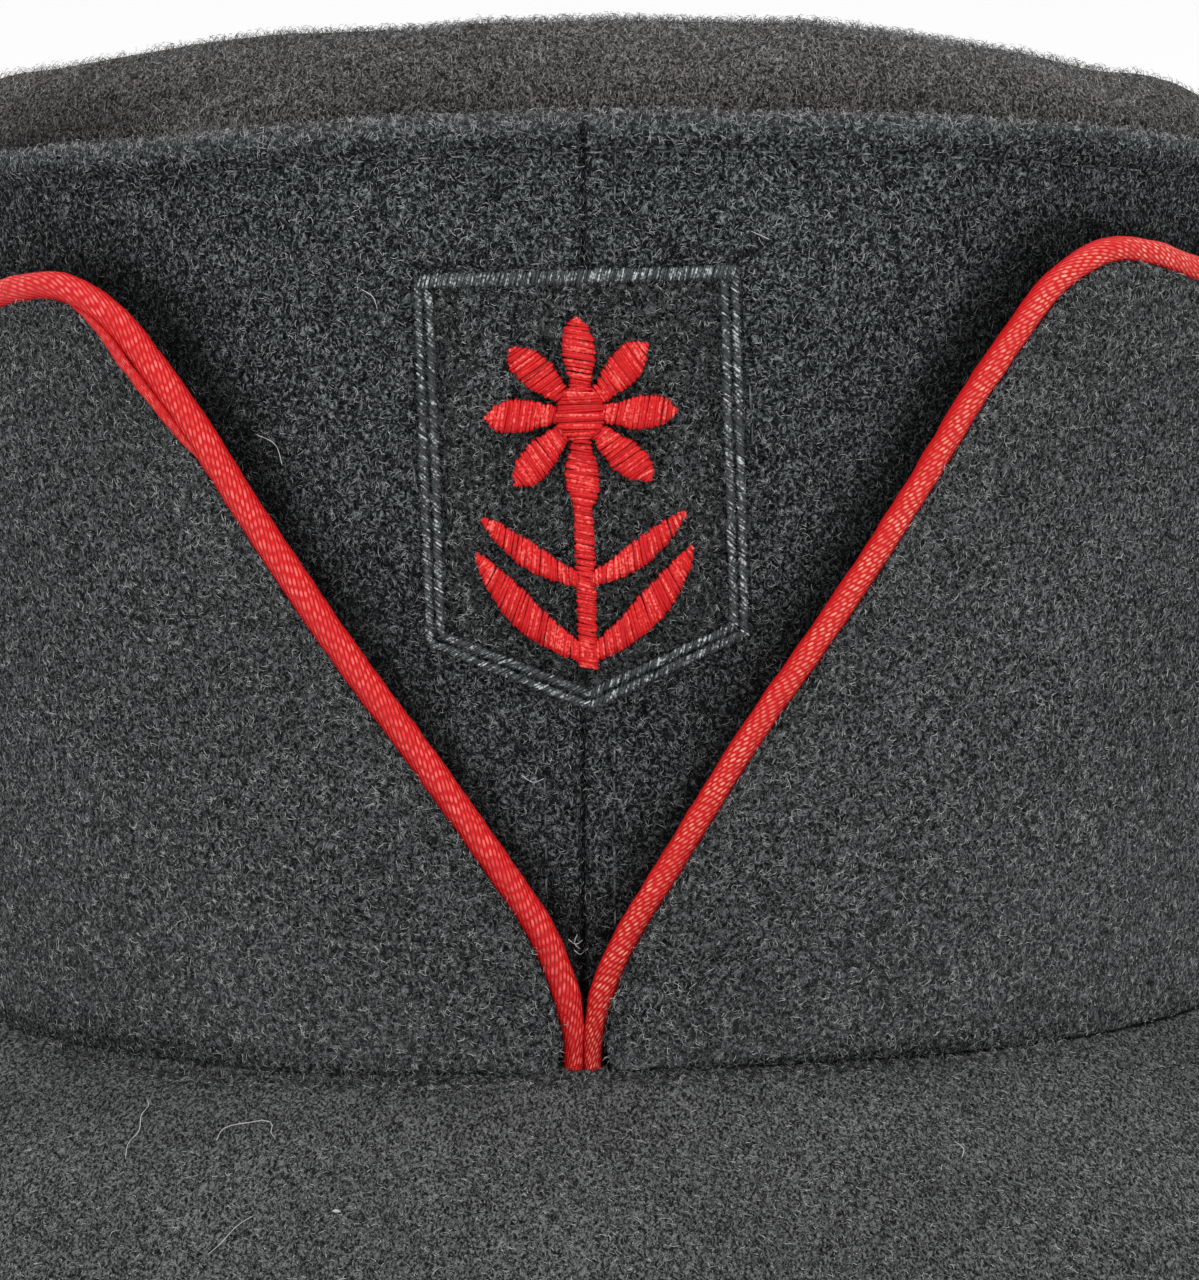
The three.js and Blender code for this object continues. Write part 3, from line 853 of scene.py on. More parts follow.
def satin(name, side):
    slant, length, pitch = FLOATS[side]
    finish = Finish(name)
    place = finish.node("ShaderNodeTexCoord")[3]
    patches = finish.noise(place, 1.6, 2.0)[0].between(0.3, 0.7)
    uv = finish.node("ShaderNodeUVMap", {"uv_map": "UVMap"})[0]
    run, turn, _ = finish.node("ShaderNodeSeparateXYZ", {}, {0: uv})
    run = run * UV_LENGTH
    around = turn * (math.pi * CORD_SIZE[side])
    across = (around * math.cos(slant) - run * math.sin(slant)) * (1 / pitch)
    along = (run * math.cos(slant) + around * math.sin(slant)) * (1 / length)
    yarn = across.apply("FLOOR")
    shift = finish.node("ShaderNodeTexWhiteNoise", {"noise_dimensions": "1D"}, {"W": yarn})[0]
    ridge = across.apply("FRACT").arch()
    uneven = finish.noise(place, 2.5, 1.0)[0]
    cell = along + yarn * 0.38 + shift * 0.8 + uneven * 1.2
    which = yarn * 7.31 + cell.apply("FLOOR")
    spark = finish.node("ShaderNodeTexWhiteNoise", {"noise_dimensions": "1D"}, {"W": which})[0]
    fleck = ridge * cell.apply("FRACT").arch()
    bearing = turn * (2 * math.pi) + FLOAT_LIT_AT[side]
    facing = bearing.apply("COSINE")
    # Painted shade in the gaps between the yarns
    shade = finish.mix(ridge.between(0.0, 0.6), dyed(CORD_RED, 0.5), dyed(CORD_RED))
    # Painted highlights on the floats, on the side of the cord that faces the light
    lit = fleck.between(0.3, 0.9) * facing.between(0.4, 1.0) * (0.3 + patches * 0.7)
    lit = lit * (0.4 + spark * 0.7)
    shade = finish.mix(lit, shade, dyed(FLOAT_HIGHLIGHT_PAINT[side]))
    bump = finish.node("ShaderNodeBump", {}, {
        "Strength": 0.6, "Distance": 0.1 * MM, "Height": ridge * 0.5 + fleck})[0]
    return finish.wear(Base_Color=shade, Roughness=0.38, Normal=bump, Specular_IOR_Level=0.2)


def cord_centre(side, run):
    across, up, _ = line_at(side, run)
    out = cuff_inside(across, up) + CUFF_WALL / 2
    soft = on_oval(side * angle_at(across), out, up)
    return on_oval(side * angle_at(across), out + ripple(soft, 30, 0.5), up)


def tube(name, centres, ways, radii, uv_runs):
    """A closed tube round a line. Each way is the direction that faces outward there."""
    steps = len(centres) - 1
    bm = bmesh.new()
    uvs = bm.loops.layers.uv.new("UVMap")
    bmesh.ops.create_grid(bm, x_segments=steps, y_segments=CORD_AROUND, size=0.5)
    for face in bm.faces:
        for loop in face.loops:
            column = round((loop.vert.co.x + 0.5) * steps)
            loop[uvs].uv = (uv_runs[column] / UV_LENGTH, loop.vert.co.y)
    for vert in bm.verts:
        column = round((vert.co.x + 0.5) * steps)
        turn = 2 * math.pi * vert.co.y
        ahead = centres[min(column + 1, steps)] - centres[max(column - 1, 0)]
        beside = ahead.cross(ways[column]).normalized()
        outward = beside.cross(ahead).normalized()
        way = math.cos(turn) * outward + math.sin(turn) * beside
        centre = centres[column]
        vert.co = centre + way * (radii[column] + ripple(centre + way * 2, 2.2, 0.12))
    bmesh.ops.remove_doubles(bm, verts=bm.verts, dist=0.002)
    bmesh.ops.holes_fill(bm, edges=[e for e in bm.edges if e.is_boundary], sides=0)
    bmesh.ops.recalc_face_normals(bm, faces=bm.faces)
    return to_mesh(bm, name)


def cord_mesh(side, name):
    whole = cuff_lines[side][1]
    runs = [whole * (0.45 * s + 0.55 * s**2.2) for s in spaced(0, 1, CORD_STEPS)]
    centres = [cord_centre(side, run) for run in runs]
    radii = []
    for run in runs:
        foot = 0.66 + 0.34 * smooth_step(run, 0, 10)
        end = min(1, 0.3 + (min(run, whole - run) / 0.8) ** 0.5)
        radii.append(CORD_SIZE[side] / 2 * foot * end)
    ways = [Vector((here.x, here.y, 0)).normalized() for here in centres]
    return tube(name, centres, ways, radii, runs)


cord_satin = {}
for side, name in SIDES.items():
    cord_satin[side] = satin(f"red_satin_{name}", side)
    add_piece(f"cord_{name}", cord_mesh(side, f"cord_{name}"), cord_satin[side],
              [f"piping_{name}"])

# %% [markdown]
# On the left the strip that the cord is wrapped in shows for a few centimetres. Its folded edge
# stands beside the cord as a second, thinner ridge.

# %% Folded edge beside the left cord
FOLD_FROM = 77
FOLD_TO = 99
fold_runs = spaced(FOLD_FROM, FOLD_TO, 160)
fold_centres = []
for run in fold_runs:
    here = cord_centre(-1, run)
    ahead = cord_centre(-1, run + 0.5) - cord_centre(-1, run - 0.5)
    outward = Vector((here.x, here.y, 0)).normalized()
    beside = ahead.cross(outward).normalized()
    share = (run - FOLD_FROM) / (FOLD_TO - FOLD_FROM)
    fold_centres.append(here - beside * (1.1 + 0.75 * math.sin(math.pi * share)) + outward * 1.2)
fold_radii = [0.1 + 0.52 * math.sin(math.pi * (r - FOLD_FROM) / (FOLD_TO - FOLD_FROM)) ** 0.6
              for r in fold_runs]
fold_ways = [Vector((here.x, here.y, 0)).normalized() for here in fold_centres]
add_piece("cord_fold", tube("cord_fold", fold_centres, fold_ways, fold_radii, fold_runs),
          cord_satin[-1])

# %% [markdown]
# ## Patch
# The shield is cut from a finer felt. A grid is cut along the shield's five edges with the bisect
# operator, then laid on the crown's curve and given its thickness.

# %% Patch felt
PATCH_WIDTH = 35
PATCH_HEIGHT = 47
PATCH_POINT = 7.5
PATCH_BOTTOM = 37.6
PATCH_TURN = math.radians(1.8)
PATCH_FELT = 1.2


def on_front(x, y, lift):
    """A point of the patch's own plane, turned as the patch is and laid on the crown's front."""
    across = x * math.cos(PATCH_TURN) - y * math.sin(PATCH_TURN)
    up = x * math.sin(PATCH_TURN) + y * math.cos(PATCH_TURN)
    up += PATCH_BOTTOM + PATCH_HEIGHT / 2
    reach = HEAD_LENGTH / 2 + crown_out(0, up)
    angle = math.asin(across / reach)
    for _ in range(3):
        angle = math.asin(across / oval_radius(angle, crown_out(angle, up) + lift))
    return on_oval(angle, crown_out(angle, up) + lift, up)


def shield(inset):
    half = PATCH_WIDTH / 2 - inset
    top = PATCH_HEIGHT / 2 - inset
    slope = PATCH_POINT / (PATCH_WIDTH / 2)
    shoulder = -PATCH_HEIGHT / 2 + PATCH_POINT + inset * (math.hypot(1, slope) - slope)
    tip = shoulder - half * slope
    return [Vector(p) for p in ((-half, shoulder), (0, tip), (half, shoulder), (half, top),
                                (-half, top))]


def patch_mesh():
    bm = bmesh.new()
    bmesh.ops.create_grid(bm, x_segments=70, y_segments=94, size=1)
    for vert in bm.verts:
        vert.co.x *= PATCH_WIDTH / 2
        vert.co.y *= PATCH_HEIGHT / 2
    corners = shield(0)
    sides = list(zip(corners, corners[1:] + corners[:1]))
    for start, end in sides:
        ahead = end - start
        geometry = [*bm.verts, *bm.edges, *bm.faces]
        bmesh.ops.bisect_plane(bm, geom=geometry, dist=1e-4, plane_co=(*start, 0),
                               plane_no=(ahead.y, -ahead.x, 0), clear_outer=True)
    bottom = list(bm.faces)
    raised = bmesh.ops.extrude_face_region(bm, geom=bottom)["geom"]
    upper = {v for v in raised if isinstance(v, bmesh.types.BMVert)}
    bm.verts.layers.float.new("tone")
    for vert in bm.verts:
        x, y = vert.co.x, vert.co.y
        inside = min((Vector((x, y)) - a).dot(Vector((a.y - b.y, b.x - a.x)).normalized())
                     for a, b in sides)
        soft = ripple(Vector((x, y, 3)), 5, 0.12)
        round_off = 0.5 * max(0, 1 - inside / 0.7) ** 2
        vert.co = on_front(x, y, GAP + PATCH_FELT + soft - round_off if vert in upper else 0.1)
    bmesh.ops.recalc_face_normals(bm, faces=bm.faces)
    return to_mesh(bm, "patch_ground_felt")


patch = add_piece("patch_ground_felt", patch_mesh(), patch_felt, ["patch_ground"])

# %% [markdown]
# ## Satin stitch
# Satin stitch fills a shape with threads laid side by side across it. Each thread comes up at one
# edge, arches over and goes down at the other. Every thread here is its own spline with a round
# section, so the light runs over the threads as it does on the real embroidery.

# %% Threads
THREAD_LIFT = GAP + PATCH_FELT
UNEVEN = 0.14


def thread_material(name, colour, painted_highlight, painted_shade_share):
    finish = Finish(name)
    place = finish.node("ShaderNodeTexCoord")[3]
    tone = finish.node("ShaderNodeAttribute", {"attribute_name": "tone"})[2]
    strands = finish.noise(place, 0.3, 1.0)[0].between(0.3, 0.7)
    # Painted shade on dim threads and where they dive, painted highlights on the brightest ones
    painted_light_share = tone * (0.55 + 0.45 * strands)
    shade = finish.mix(painted_light_share.between(0.05, 0.5), dyed(colour, painted_shade_share), dyed(colour))
    shade = finish.mix(painted_light_share.between(0.5, 1.0), shade, dyed(painted_highlight))
    plies = finish.noise(place, 0.09, 1.0)[0]
    bump = finish.node("ShaderNodeBump", {}, {
        "Strength": 0.3, "Distance": 0.03 * MM, "Height": plies})[0]
    return finish.wear(Base_Color=shade, Roughness=0.4, Normal=bump, Specular_IOR_Level=0.2)


red_thread = thread_material("red_thread", colour=(0.58, 0.008, 0.01),
                             painted_highlight=(0.95, 0.17, 0.14), painted_shade_share=0.5)
grey_thread = thread_material("grey_thread", colour=(0.05, 0.056, 0.058),
                              painted_highlight=(0.55, 0.58, 0.59), painted_shade_share=0.25)


def curves_to_mesh(name, lines, extra, **shape):
    """A mesh of straight-sided splines. Each line is its points and their radii or tilts."""
    data = bpy.data.curves.new(name, "CURVE")
    data.dimensions = "3D"
    for setting, value in shape.items():
        setattr(data, setting, value)
    for points, values in lines:
        spline = data.splines.new("POLY")
        spline.points.add(len(points) - 1)
        spline.points.foreach_set("co", np.hstack([points, np.ones((len(points), 1))]).ravel())
        spline.points.foreach_set(extra, values)
    holder = bpy.data.objects.new(name, data)
    mesh = bpy.data.meshes.new_from_object(holder)
    bpy.data.objects.remove(holder)
    bpy.data.curves.remove(data)
    return mesh


def set_tones(mesh, values):
    mesh.attributes.new("tone", "FLOAT", "POINT").data.foreach_set("value", values)


def threads_to_mesh(name, threads, thickness):
    """Threads are lists of (point, radius share) in the cap's frame."""
    mesh = curves_to_mesh(name, (zip(*thread) for thread in threads), "radius",
                          bevel_depth=thickness / 2, bevel_resolution=1)
    set_tones(mesh, thread_tones(len(threads), len(threads[0]), len(mesh.vertices)))
    bm = bmesh.new()
    bm.from_mesh(mesh)
    bpy.data.meshes.remove(mesh)
    bmesh.ops.remove_doubles(bm, verts=bm.verts, dist=1e-4)
    return to_mesh(bm, name)


def thread_tones(threads, points, vertices):
    """Each thread has its own brightness, and all of them are painted with shade where they dive.
    """
    own = dice.uniform(0.4, 1.0, (threads, 1, 1))
    middle = 1 - 0.75 * np.abs(np.linspace(-1, 1, points))[None, :, None] ** 3
    ring = np.ones((1, 1, vertices // (threads * points)))
    return (own * middle * ring).ravel()


def laid_thread(start, end, loft, lift):
    """One stitch from start to end in the patch's plane, arched over a padding."""
    made = []
    for t in (0.0, 0.1, 0.3, 0.5, 0.7, 0.9, 1.0):
        here = start + (end - start) * t
        arch = loft * (1 - (2 * t - 1) ** 4) ** 0.6 if 0 < t < 1 else -0.25
        made.append((on_front(here.x, here.y, lift + arch), 1.0 if 0 < t < 1 else 0.0))
    return made


def satin_band(line, half_width, pitch, loft, slant=0.25, lift=THREAD_LIFT):
    """Threads across a band that follows a line in the patch's plane."""
    line = [Vector(p) for p in line]
    runs = [0.0]
    for a, b in zip(line, line[1:]):
        runs.append(runs[-1] + (b - a).length)
    steps = max(int(runs[-1] / pitch), 2)
    threads = []
    for i in range(steps):
        run = runs[-1] * (i + 0.5) / steps
        k = max(j for j in range(len(line) - 1) if runs[j] <= run)
        ahead = (line[k + 1] - line[k]).normalized()
        here = line[k] + ahead * (run - runs[k])
        across = Vector((-ahead.y, ahead.x))
        half = half_width(run / runs[-1])
        if half < 0.12:
            continue
        lean = ahead * slant * half
        start = here + across * (half + chance.uniform(-UNEVEN, UNEVEN)) + lean
        end = here - across * (half + chance.uniform(-UNEVEN, UNEVEN)) - lean
        start += ahead * chance.uniform(-0.5, 0.5) * pitch
        end += ahead * chance.uniform(-0.5, 0.5) * pitch
        threads.append(laid_thread(start, end, loft * chance.uniform(0.72, 1.15), lift))
    return threads


print("thread helpers ready")

# %% [markdown]
# ## The grey border
# A border runs round the shield, just inside its edge. Along the sides and the point it is two
# narrow rows side by side, with a dark line between them. Along the top it is one broader row.

# %% Border
BORDER_INSETS = (0.85, 2.0)
BORDER_TOP = 0.9
BORDER_PITCH = 0.2
BORDER_THREAD = 0.22


def border_threads():
    threads = []
    for corners in map(shield, BORDER_INSETS):
        for i, j in ((4, 0), (0, 1), (1, 2), (2, 3)):
            threads += satin_band([corners[i], corners[j]], lambda share: 0.43, BORDER_PITCH,
                                  0.42, slant=0.9)
    top = shield(BORDER_TOP)[3:]
    return threads + satin_band(top, lambda share: 0.78, BORDER_PITCH, 0.7, slant=0.3)


add_piece("patch_border_stitch",
          threads_to_mesh("patch_border_stitch", border_threads(), BORDER_THREAD),
          grey_thread, ["patch_border"])

# %% [markdown]
# ## The red flower
# A folk flower: eight petals round a disc, on a stem with two pairs of leaves. Every petal and leaf
# is a band of threads whose width follows its outline, so the threads turn with the shape.

# %% Flower
MOTIF = min(PATCH_WIDTH, 0.75 * PATCH_HEIGHT)
PETALS = 8
PETAL_START = 0.2
FLOWER = {"radius": 0.29, "height": 0.235, "petal": 0.112, "disc": 0.083, "stem": 0.063}
STEM_FOOT = -0.53
FLOWER_PITCH = 0.26
FLOWER_THREAD = 0.36
OUTLINE_STEPS = 60
LEAVES = [(-0.495, 0.33, 0.325, 0.108, 0.32), (-0.27, 0.31, 0.205, 0.085, 0.26)]
PETAL_OUTLINE = [(0.12, 0.16), (0.4, 0.36), (0.62, 0.5), (0.84, 0.42), (1, 0)]
LEAF_OUTLINE = [(0, 0.22), (0.25, 0.4), (0.5, 0.5), (0.78, 0.34), (1, 0)]


def outline_halves(outline, width, start=0.0):
    """Half the width of a petal or leaf at even shares of its length."""
    line, _ = smooth_line(outline, OUTLINE_STEPS)
    shares = [start + (1 - start) * share for share in spaced(0, 1, OUTLINE_STEPS)]
    return np.interp(shares, [p.x for p in line], [p.y for p in line]) * width


def flower_threads():
    heart = Vector((0, FLOWER["height"])) * MOTIF
    threads = satin_band([(0, STEM_FOOT * MOTIF), (0, heart.y - 4)],
                         lambda share: FLOWER["stem"] * MOTIF / 2, FLOWER_PITCH, 0.5)
    petal = outline_halves(PETAL_OUTLINE, FLOWER["petal"] * MOTIF, PETAL_START)
    for i in range(PETALS):
        turn = 2 * math.pi * (i + 1) / PETALS
        ahead = Vector((math.cos(turn), math.sin(turn)))
        start = heart + ahead * FLOWER["radius"] * MOTIF * PETAL_START
        end = heart + ahead * FLOWER["radius"] * MOTIF
        threads += satin_band([start, end], lambda share: petal[int(share * OUTLINE_STEPS)],
                              FLOWER_PITCH, 0.55, slant=0.2)
    for root, across, up, width, bow in LEAVES:
        length = math.hypot(across, up) * MOTIF
        leaf = outline_halves(LEAF_OUTLINE, width * MOTIF)
        for side in (1, -1):
            line = []
            for share in spaced(0, 1, 24):
                drop = -4 * bow * width * MOTIF * share * (1 - share)
                point = Vector((share * length, drop))
                point.rotate(Matrix.Rotation(math.atan2(up, across), 2))
                line.append(Vector((side * point.x, point.y + root * MOTIF)))
            threads += satin_band(line, lambda share: leaf[int(share * OUTLINE_STEPS)],
                                  FLOWER_PITCH, 0.5, slant=0.5 * side)
    disc = FLOWER["disc"] * MOTIF
    threads += satin_band([heart - Vector((0, disc)), heart + Vector((0, disc))],
                          lambda share: disc * math.sqrt(max(1 - (2 * share - 1) ** 2, 0)),
                          FLOWER_PITCH, 0.9, slant=0.0, lift=THREAD_LIFT + 0.15)
    return threads


add_piece("patch_flower_stitch",
          threads_to_mesh("patch_flower_stitch", flower_threads(), FLOWER_THREAD),
          red_thread, ["patch_flower"])

# %% [markdown]
# ## Seam stitches
# The rows beside both seams and under the rolled edge are sewn in a paler thread. It has sunk into
# the felt, so only the back of each stitch shows. A few stray stitches tack the shield down.

# %% Stitches
seam_thread = thread_material("seam_thread", colour=(0.08, 0.085, 0.088),
                              painted_highlight=(0.26, 0.27, 0.28), painted_shade_share=0.3)
STITCH_LENGTH = 2.0
STITCH_GAP = 1.5
SEAM_ROW_FOOT = 4.0
EDGE_STITCHES = 178
EDGE_STITCH_SHARE = 0.74
STITCH_STEPS = 6


def sunk_stitch(place):
    """One stitch along the points that place gives for shares from 0 to 1."""
    return [(place(share), math.sin(math.pi * share) ** 0.5 if 0 < share < 1 else 0.0)
            for share in spaced(0, 1, STITCH_STEPS)]


def off_crown(angle, up, lift):
    return crown_face(angle, up) + Vector((math.sin(angle), -math.cos(angle), 0)) * lift


def seam_rows():
    stitches = []
    for turn in (0, math.pi):
        for side in (-1, 1):
            up = SEAM_ROW_FOOT
            while up < crown_edge(turn) - 2:
                aside = STITCH_ROW - 0.4 * side + chance.uniform(-0.15, 0.15)
                angle = turn + side * aside / (HEAD_LENGTH / 2)
                stitches.append(sunk_stitch(lambda share: off_crown(
                    angle, up + STITCH_LENGTH * share, 0.3 * math.sin(math.pi * share) - 0.15)))
                up += STITCH_LENGTH + STITCH_GAP
    return stitches


def edge_stitch(number):
    def place(share):
        turn = 2 * math.pi * (number + EDGE_STITCH_SHARE * share) / EDGE_STITCHES
        angle = math.remainder(turn, 2 * math.pi)
        return off_crown(angle, crown_edge(angle) - EDGE_ROW,
                         0.12 * math.sin(math.pi * share) - 0.12)

    return sunk_stitch(place)


# Each tack's start and end, across and up from the middle of the patch
TACKS = [(-12.6, 24.0, -12.0, 24.1), (-10.5, 24.1, -10.1, 24.0), (-8.3, 24.2, -8.0, 24.1),
         (-5.0, 24.0, -3.0, 24.1), (1.5, 24.0, 2.6, 24.0), (6.5, 24.2, 7.0, 24.1),
         (11.0, 24.0, 12.6, 24.1), (-17.8, 3.4, -17.7, 0.8), (-17.9, -9.0, -17.8, -9.8),
         (17.9, 11.0, 18.0, 7.6), (18.1, 6.8, 18.0, 4.2), (17.9, -2.0, 17.8, -3.2)]


def tack(x0, y0, x1, y1):
    """A stray stitch that holds the patch, just outside its edge."""
    return sunk_stitch(lambda share: on_front(x0 + (x1 - x0) * share, y0 + (y1 - y0) * share,
                                              0.05 + 0.35 * math.sin(math.pi * share)))


for name, stitches, thickness in (
    ("tack_stitches", [tack(*ends) for ends in TACKS], 0.22),
    ("seam_stitches", seam_rows(), 0.24),
    ("edge_stitches", [edge_stitch(number) for number in range(EDGE_STITCHES)], 0.26),
):
    add_piece(name, threads_to_mesh(name, stitches, thickness), seam_thread)

# %% [markdown]
# ## Lint
# A few pale fibres and a speck have settled on the peak and the crown. Each is a line of points on
# the cloth, joined by a smooth curve. On the peak a point is its share of the way to the peak's end
# and to its edge. On the crown it is millimetres across from the seam and up from the rim.

# %% Lint
PEAK_LINT = [
    [(-0.298, 0.33), (-0.297, 0.27), (-0.288, 0.25), (-0.275, 0.235), (-0.265, 0.222),
     (-0.257, 0.245), (-0.256, 0.27), (-0.248, 0.3)],
    [(-0.388, 0.175), (-0.38, 0.21), (-0.379, 0.26), (-0.37, 0.33), (-0.372, 0.38),
     (-0.365, 0.445)],
    [(-0.265, 0.695), (-0.259, 0.66), (-0.25, 0.595), (-0.24, 0.56)],
    [(0.3, 0.34), (0.305, 0.37), (0.3, 0.4)],
]
CROWN_LINT = [
    [(-22.6, 82.4), (-21.4, 81.6), (-20.9, 80.2)], [(-34.2, 67.0), (-32.0, 65.9), (-31.2, 63.6)],
    [(17.0, 88.5), (19.0, 87.6)], [(-6.5, 31.0), (-5.2, 30.2), (-4.0, 30.6)],
    [(-1.6, 13.4), (-0.8, 12.8), (0.0, 13.1)], [(-1.0, 12.2), (-0.2, 11.6), (0.5, 12.3)],
    [(-0.6, 13.9), (-0.9, 12.9), (-0.2, 12.1)],
]
SPECK = (-0.185, 0.53)
SPECK_STEP = 0.0005
SPECK_SIZE = 3.4
LINT_STEPS = 14
LINT_THREAD = 0.12
lint_finish = Finish("lint")
lint_finish.wear(Base_Color=grey(0.45), Roughness=0.8, Specular_IOR_Level=0.1)


def lint_line(marks, place):
    line, _ = smooth_line(marks, LINT_STEPS)
    return [(place(*p), 0.5 + 0.5 * chance.random() if 0 < i < LINT_STEPS else 0.0)
            for i, p in enumerate(line)]


def over_peak(aside, share):
    return peak_point(aside, "top", share) + Vector((0, -0.1, 0.35))


def over_crown(across, up):
    angle = math.asin(across / (HEAD_LENGTH / 2))
    return crown_face(angle, up) + Vector((0, -0.3, 0))


lint = [lint_line(marks, over_peak) for marks in PEAK_LINT]
lint += [lint_line(marks, over_crown) for marks in CROWN_LINT]
lint += [[(over_peak(SPECK[0] + SPECK_STEP * i, SPECK[1]),
           SPECK_SIZE * math.sin(math.pi * i / LINT_STEPS)) for i in range(LINT_STEPS + 1)]]
add_piece("lint", threads_to_mesh("lint", lint, LINT_THREAD), lint_finish.material)

# %% [markdown]
# ## Nap
# Real felt has loose hair ends. They soften every outline and catch the light, which no bump map
# can do. Each hair is a narrow ribbon along four points. Hairs are sown over the finished pieces,
# thickest where the camera comes closest, with more along the rolled edge, the fold at the rim and
# the skyline. Each one takes the tone of the cloth that it stands on, and so its painted
# shade.

# %% Nap material
hair_finish = Finish("nap_hair")
hair_place = hair_finish.node("ShaderNodeTexCoord")[3]
hair_tone = hair_finish.noise(hair_place, 0.7, 2.0)[0].between(0.4, 0.68)
hair_colour = hair_finish.mix(hair_tone, grey(0.03, -0.04), grey(0.4, -0.01))
hair_shade = hair_finish.node("ShaderNodeAttribute", {"attribute_name": "tone"})[2]
# The cloth's painted shade darkens the hairs on it too
hair_colour = hair_finish.mix(hair_shade.below_zero(), hair_colour, grey(0.003))
nap_material = hair_finish.wear(Base_Color=hair_colour, Roughness=0.9, Specular_IOR_Level=0.05)
print("hairs:", nap_material.name)

# %% Sowing hairs
HAIR_ROOT = 0.04
SHORTEST_HAIR = 0.5
HAIR_CURL = 0.75
# How far each third of a hair turns and climbs
HAIR_THIRDS = ((-1, 1.3), (0, 0.8), (1, 0.0))


def mesh_values(items, key, width, kind=float):
    """One value of a mesh's points or triangles, as an array with a row for each of them."""
    values = np.empty(len(items) * width, kind)
    items.foreach_get(key, values)
    return values.reshape(-1, width)


def scatter(piece, count, closeness):
    """Places on a piece, the most where closeness is high, with the normal and the tone there."""
    mesh = piece.data
    mesh.calc_loop_triangles()
    triangles = mesh_values(mesh.loop_triangles, "vertices", 3, np.int32)
    points = mesh_values(mesh.vertices, "co", 3) / MM
    normals = mesh_values(mesh.vertices, "normal", 3)
    tone = mesh_values(mesh.attributes["tone"].data, "value", 1)[triangles[:, 0], 0]
    a, b, c = (points[triangles[:, k]] for k in range(3))
    area = np.linalg.norm(np.cross(b - a, c - a), axis=1) / 2
    weight = area * closeness((a + b + c) / 3, normals[triangles[:, 0]], tone)
    chosen = dice.choice(len(triangles), count, p=weight / weight.sum())
    share = dice.random((count, 2))
    flip = share.sum(1) > 1
    share[flip] = 1 - share[flip]
    u, v = share[:, :1], share[:, 1:]
    base = a[chosen] * (1 - u - v) + b[chosen] * u + c[chosen] * v
    corner = [normals[triangles[chosen, k]] for k in range(3)]
    normal = corner[0] * (1 - u - v) + corner[1] * u + corner[2] * v
    normal /= np.linalg.norm(normal, axis=1)[:, None]
    return base, normal, tone[chosen]


def grow(base, normal, rise, longest, comb):
    """A hair of four points at each place, laid along the cloth and lifted off it."""
    count = len(base)
    way = dice.normal(size=(count, 3)) + comb
    lie = way - normal * (way * normal).sum(1)[:, None]
    lie /= np.linalg.norm(lie, axis=1)[:, None]
    aside = np.cross(normal, lie)
    step = dice.uniform(SHORTEST_HAIR, longest, (count, 1)) / len(HAIR_THIRDS)
    curl = dice.uniform(-HAIR_CURL, HAIR_CURL, (count, 1))
    lift = dice.uniform(0.3, 1.0, (count, 1)) * rise
    hair = [base - normal * HAIR_ROOT]
    for turn, climb in HAIR_THIRDS:
        ahead = lie * np.cos(turn * curl) + aside * np.sin(turn * curl)
        hair.append(hair[-1] + step * (ahead + normal * lift * climb))
    hair = np.stack(hair, 1)
    hair[:, :, 2] = np.maximum(hair[:, :, 2], 0)
    return hair * MM


def hairs_to_mesh(name, hairs, tone, width):
    tilts = dice.uniform(0, math.pi, len(hairs))
    lines = ((hair, [tilt] * len(hair)) for hair, tilt in zip(hairs, tilts))
    mesh = curves_to_mesh(name, lines, "tilt", extrude=width / 2 * MM)
    set_tones(mesh, np.repeat(tone, len(mesh.vertices) // len(hairs)))
    return mesh


print("hairs are", SHORTEST_HAIR, "mm long and longer")


# %% Where the hairs grow
CAP_MIDDLE = np.array([0, 23, 40])


def facing_front(places, normals, tone):
    """Weights hairs to the front, and leaves out what the cuff or the cap itself hides."""
    outward = (normals * (places - CAP_MIDDLE)).sum(1) > 0
    front = np.clip((-places[:, 1] + 20) / 90, 0, 1) ** 2
    return outward * (tone > -0.99) * (0.06 + front) * (1 + 6 * np.clip(tone, 0, 1))


def along_edges(places, normals, tone):
    """Weights hairs to the rolled edge of the crown, where they hide the join with the top."""
    return facing_front(places, normals, tone) * (tone > 0.06)


def along_rim(places, normals, tone):
    """Weights hairs to the fold where the cuff meets the peak."""
    front = (places[:, 1] < -20) * (normals[:, 1] < 0.2)
    return front * (tone < -0.1)


def along_skyline(places, normals, tone):
    """Weights hairs to where the camera sees the cloth turn away, against the white."""
    sight = np.array(EYE / MM) - places
    facing = (normals * sight).sum(1) / np.linalg.norm(sight, axis=1)
    return (np.abs(facing) < 0.2) * (tone > -0.99)


ANY_WAY = (0, 0, 0)
DOWN_PEAK = (0.7, -1.8, 0)
UPRIGHT = (0, 0, 2)
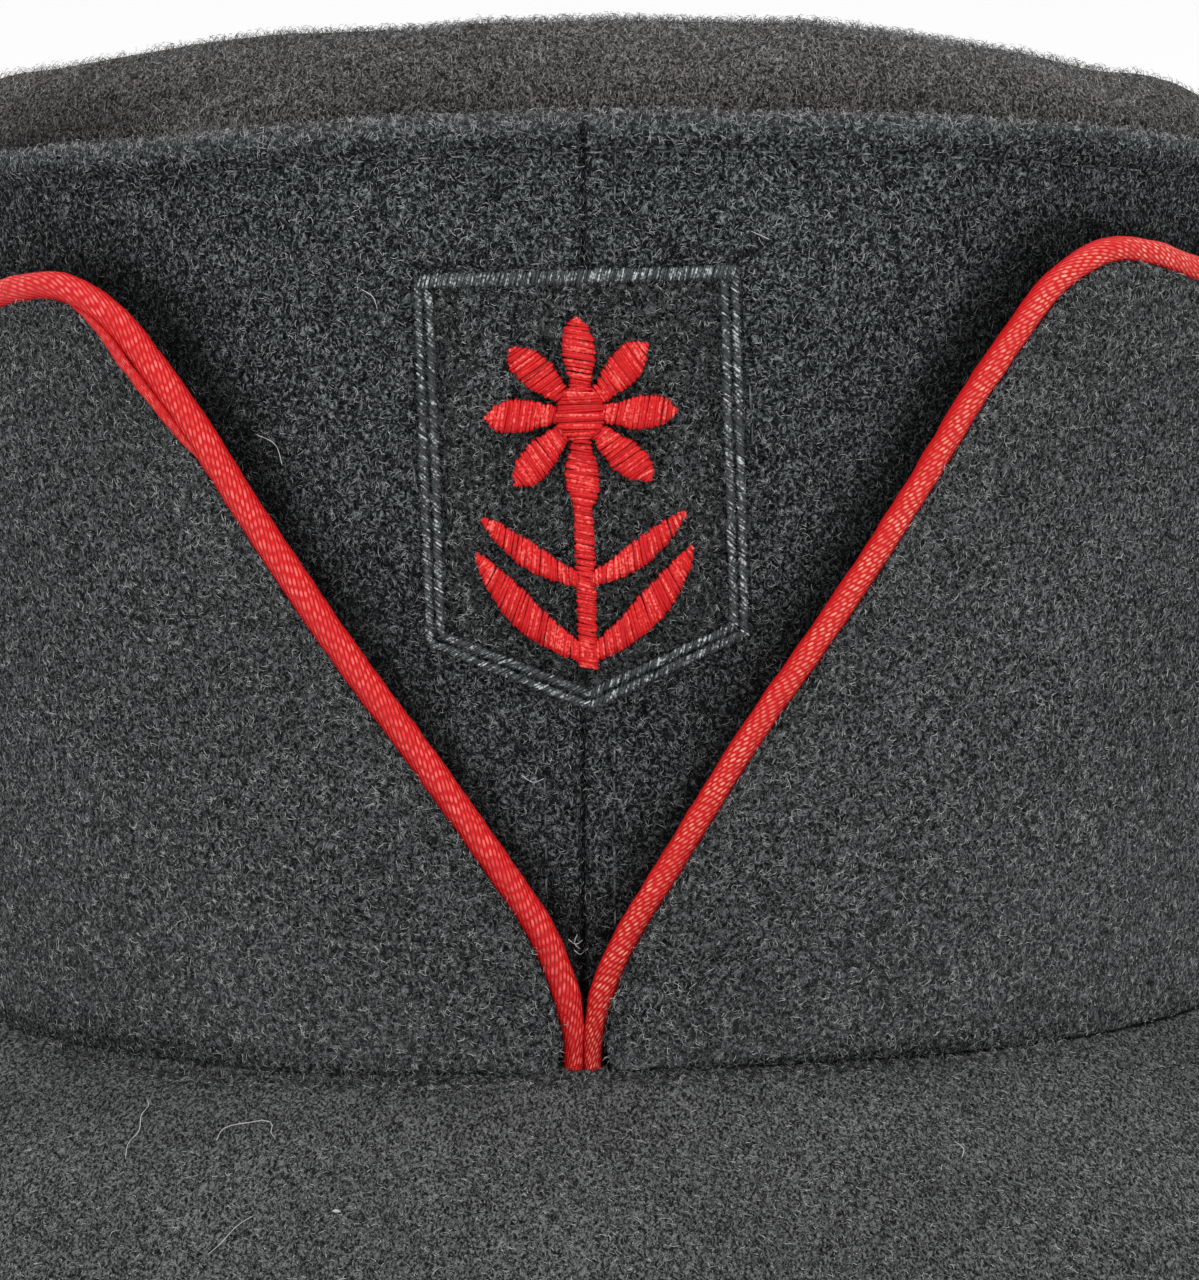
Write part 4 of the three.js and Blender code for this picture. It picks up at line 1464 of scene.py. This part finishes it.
# Piece, hairs, rise, longest hair, width, name, slot, where they grow and how they are combed
NAP = [
    (crown, 33000, 0.35, 1.4, 0.06, "nap_crown", "crown_felt", facing_front, ANY_WAY),
    (crown, 7000, 1.0, 1.2, 0.06, "nap_edge", "crown_felt", along_edges, UPRIGHT),
    (dome, 33000, 1.5, 1.1, 0.05, "nap_dome", "crown_felt", facing_front, UPRIGHT),
    (dome, 9000, 1.5, 1.1, 0.05, "nap_skyline", "crown_felt", along_skyline, UPRIGHT),
    (flaps[1], 33000, 0.35, 1.4, 0.065, "nap_cuff_right", "cuff_felt", facing_front, ANY_WAY),
    (flaps[-1], 33000, 0.35, 1.4, 0.065, "nap_cuff_left", "cuff_felt", facing_front, ANY_WAY),
    (peak, 33000, 0.4, 1.5, 0.06, "nap_peak", "cuff_felt", facing_front, DOWN_PEAK),
    (peak, 4500, 0.9, 1.4, 0.06, "nap_peak_rim", "cuff_felt", along_rim, ANY_WAY),
    (flaps[1], 3000, 0.8, 1.4, 0.06, "nap_rim_right", "cuff_felt", along_rim, ANY_WAY),
    (flaps[-1], 3000, 0.8, 1.4, 0.06, "nap_rim_left", "cuff_felt", along_rim, ANY_WAY),
    (patch, 8000, 0.3, 1.2, 0.055, "nap_patch", "patch_felt", facing_front, ANY_WAY),
]
for piece, count, rise, longest, width, name, slot, where, comb in NAP:
    places, normals, tone = scatter(piece, count, where)
    hairs = grow(places, normals, rise, longest, comb)
    add_piece(name, hairs_to_mesh(name, hairs, tone, width), nap_material)

# %% [markdown]
# ## Table and light
# The cap stands on a plain pale floor that runs far back, as white as the photograph's ground. A
# wide soft light hangs over the front, a weaker one stands in front and to the right, and a white
# sky fills the shadows.

# %% Floor
FLOOR_RADIUS = 30
# The floor lies a little below the table's plane, so that it never meets the cap's lowest faces
FLOOR_DROP = 0.0004
floor_finish = Finish("floor")
floor_finish.wear(Base_Color=(0.97, 0.97, 0.97, 1), Roughness=0.9)


def lay_floor():
    bm = bmesh.new()
    bmesh.ops.create_circle(bm, cap_ends=True, segments=96, radius=FLOOR_RADIUS)
    mesh = bpy.data.meshes.new("floor")
    bm.to_mesh(mesh)
    bm.free()
    mesh.materials.append(floor_finish.material)
    floor = bpy.data.objects.new("floor", mesh)
    floor.location.z = -FLOOR_DROP
    bpy.context.scene.collection.objects.link(floor)


lay_floor()


# %% Lights
def soft_light(name, place, aim, power):
    data = bpy.data.lights.new(name, "AREA")
    data.shape = "RECTANGLE"
    data.size, data.size_y = 1.0, 0.8
    data.energy = power
    light = bpy.data.objects.new(name, data)
    light.location = place
    light.rotation_euler = (Vector(aim) - Vector(place)).to_track_quat("-Z", "Y").to_euler()
    bpy.context.scene.collection.objects.link(light)


soft_light("overhead", place=(0.0, -0.35, 1.5), aim=(0, -0.05, 0.06), power=11)
soft_light("front", place=(0.7, -1.6, 0.9), aim=(0, -0.1, 0.06), power=3)
world = bpy.data.worlds.new("studio")
world.use_nodes = True
world.node_tree.nodes["Background"].inputs["Color"].default_value = (1, 1, 1, 1)
world.node_tree.nodes["Background"].inputs["Strength"].default_value = 1.0
bpy.context.scene.world = world
bpy.context.scene.view_settings.view_transform = "Standard"
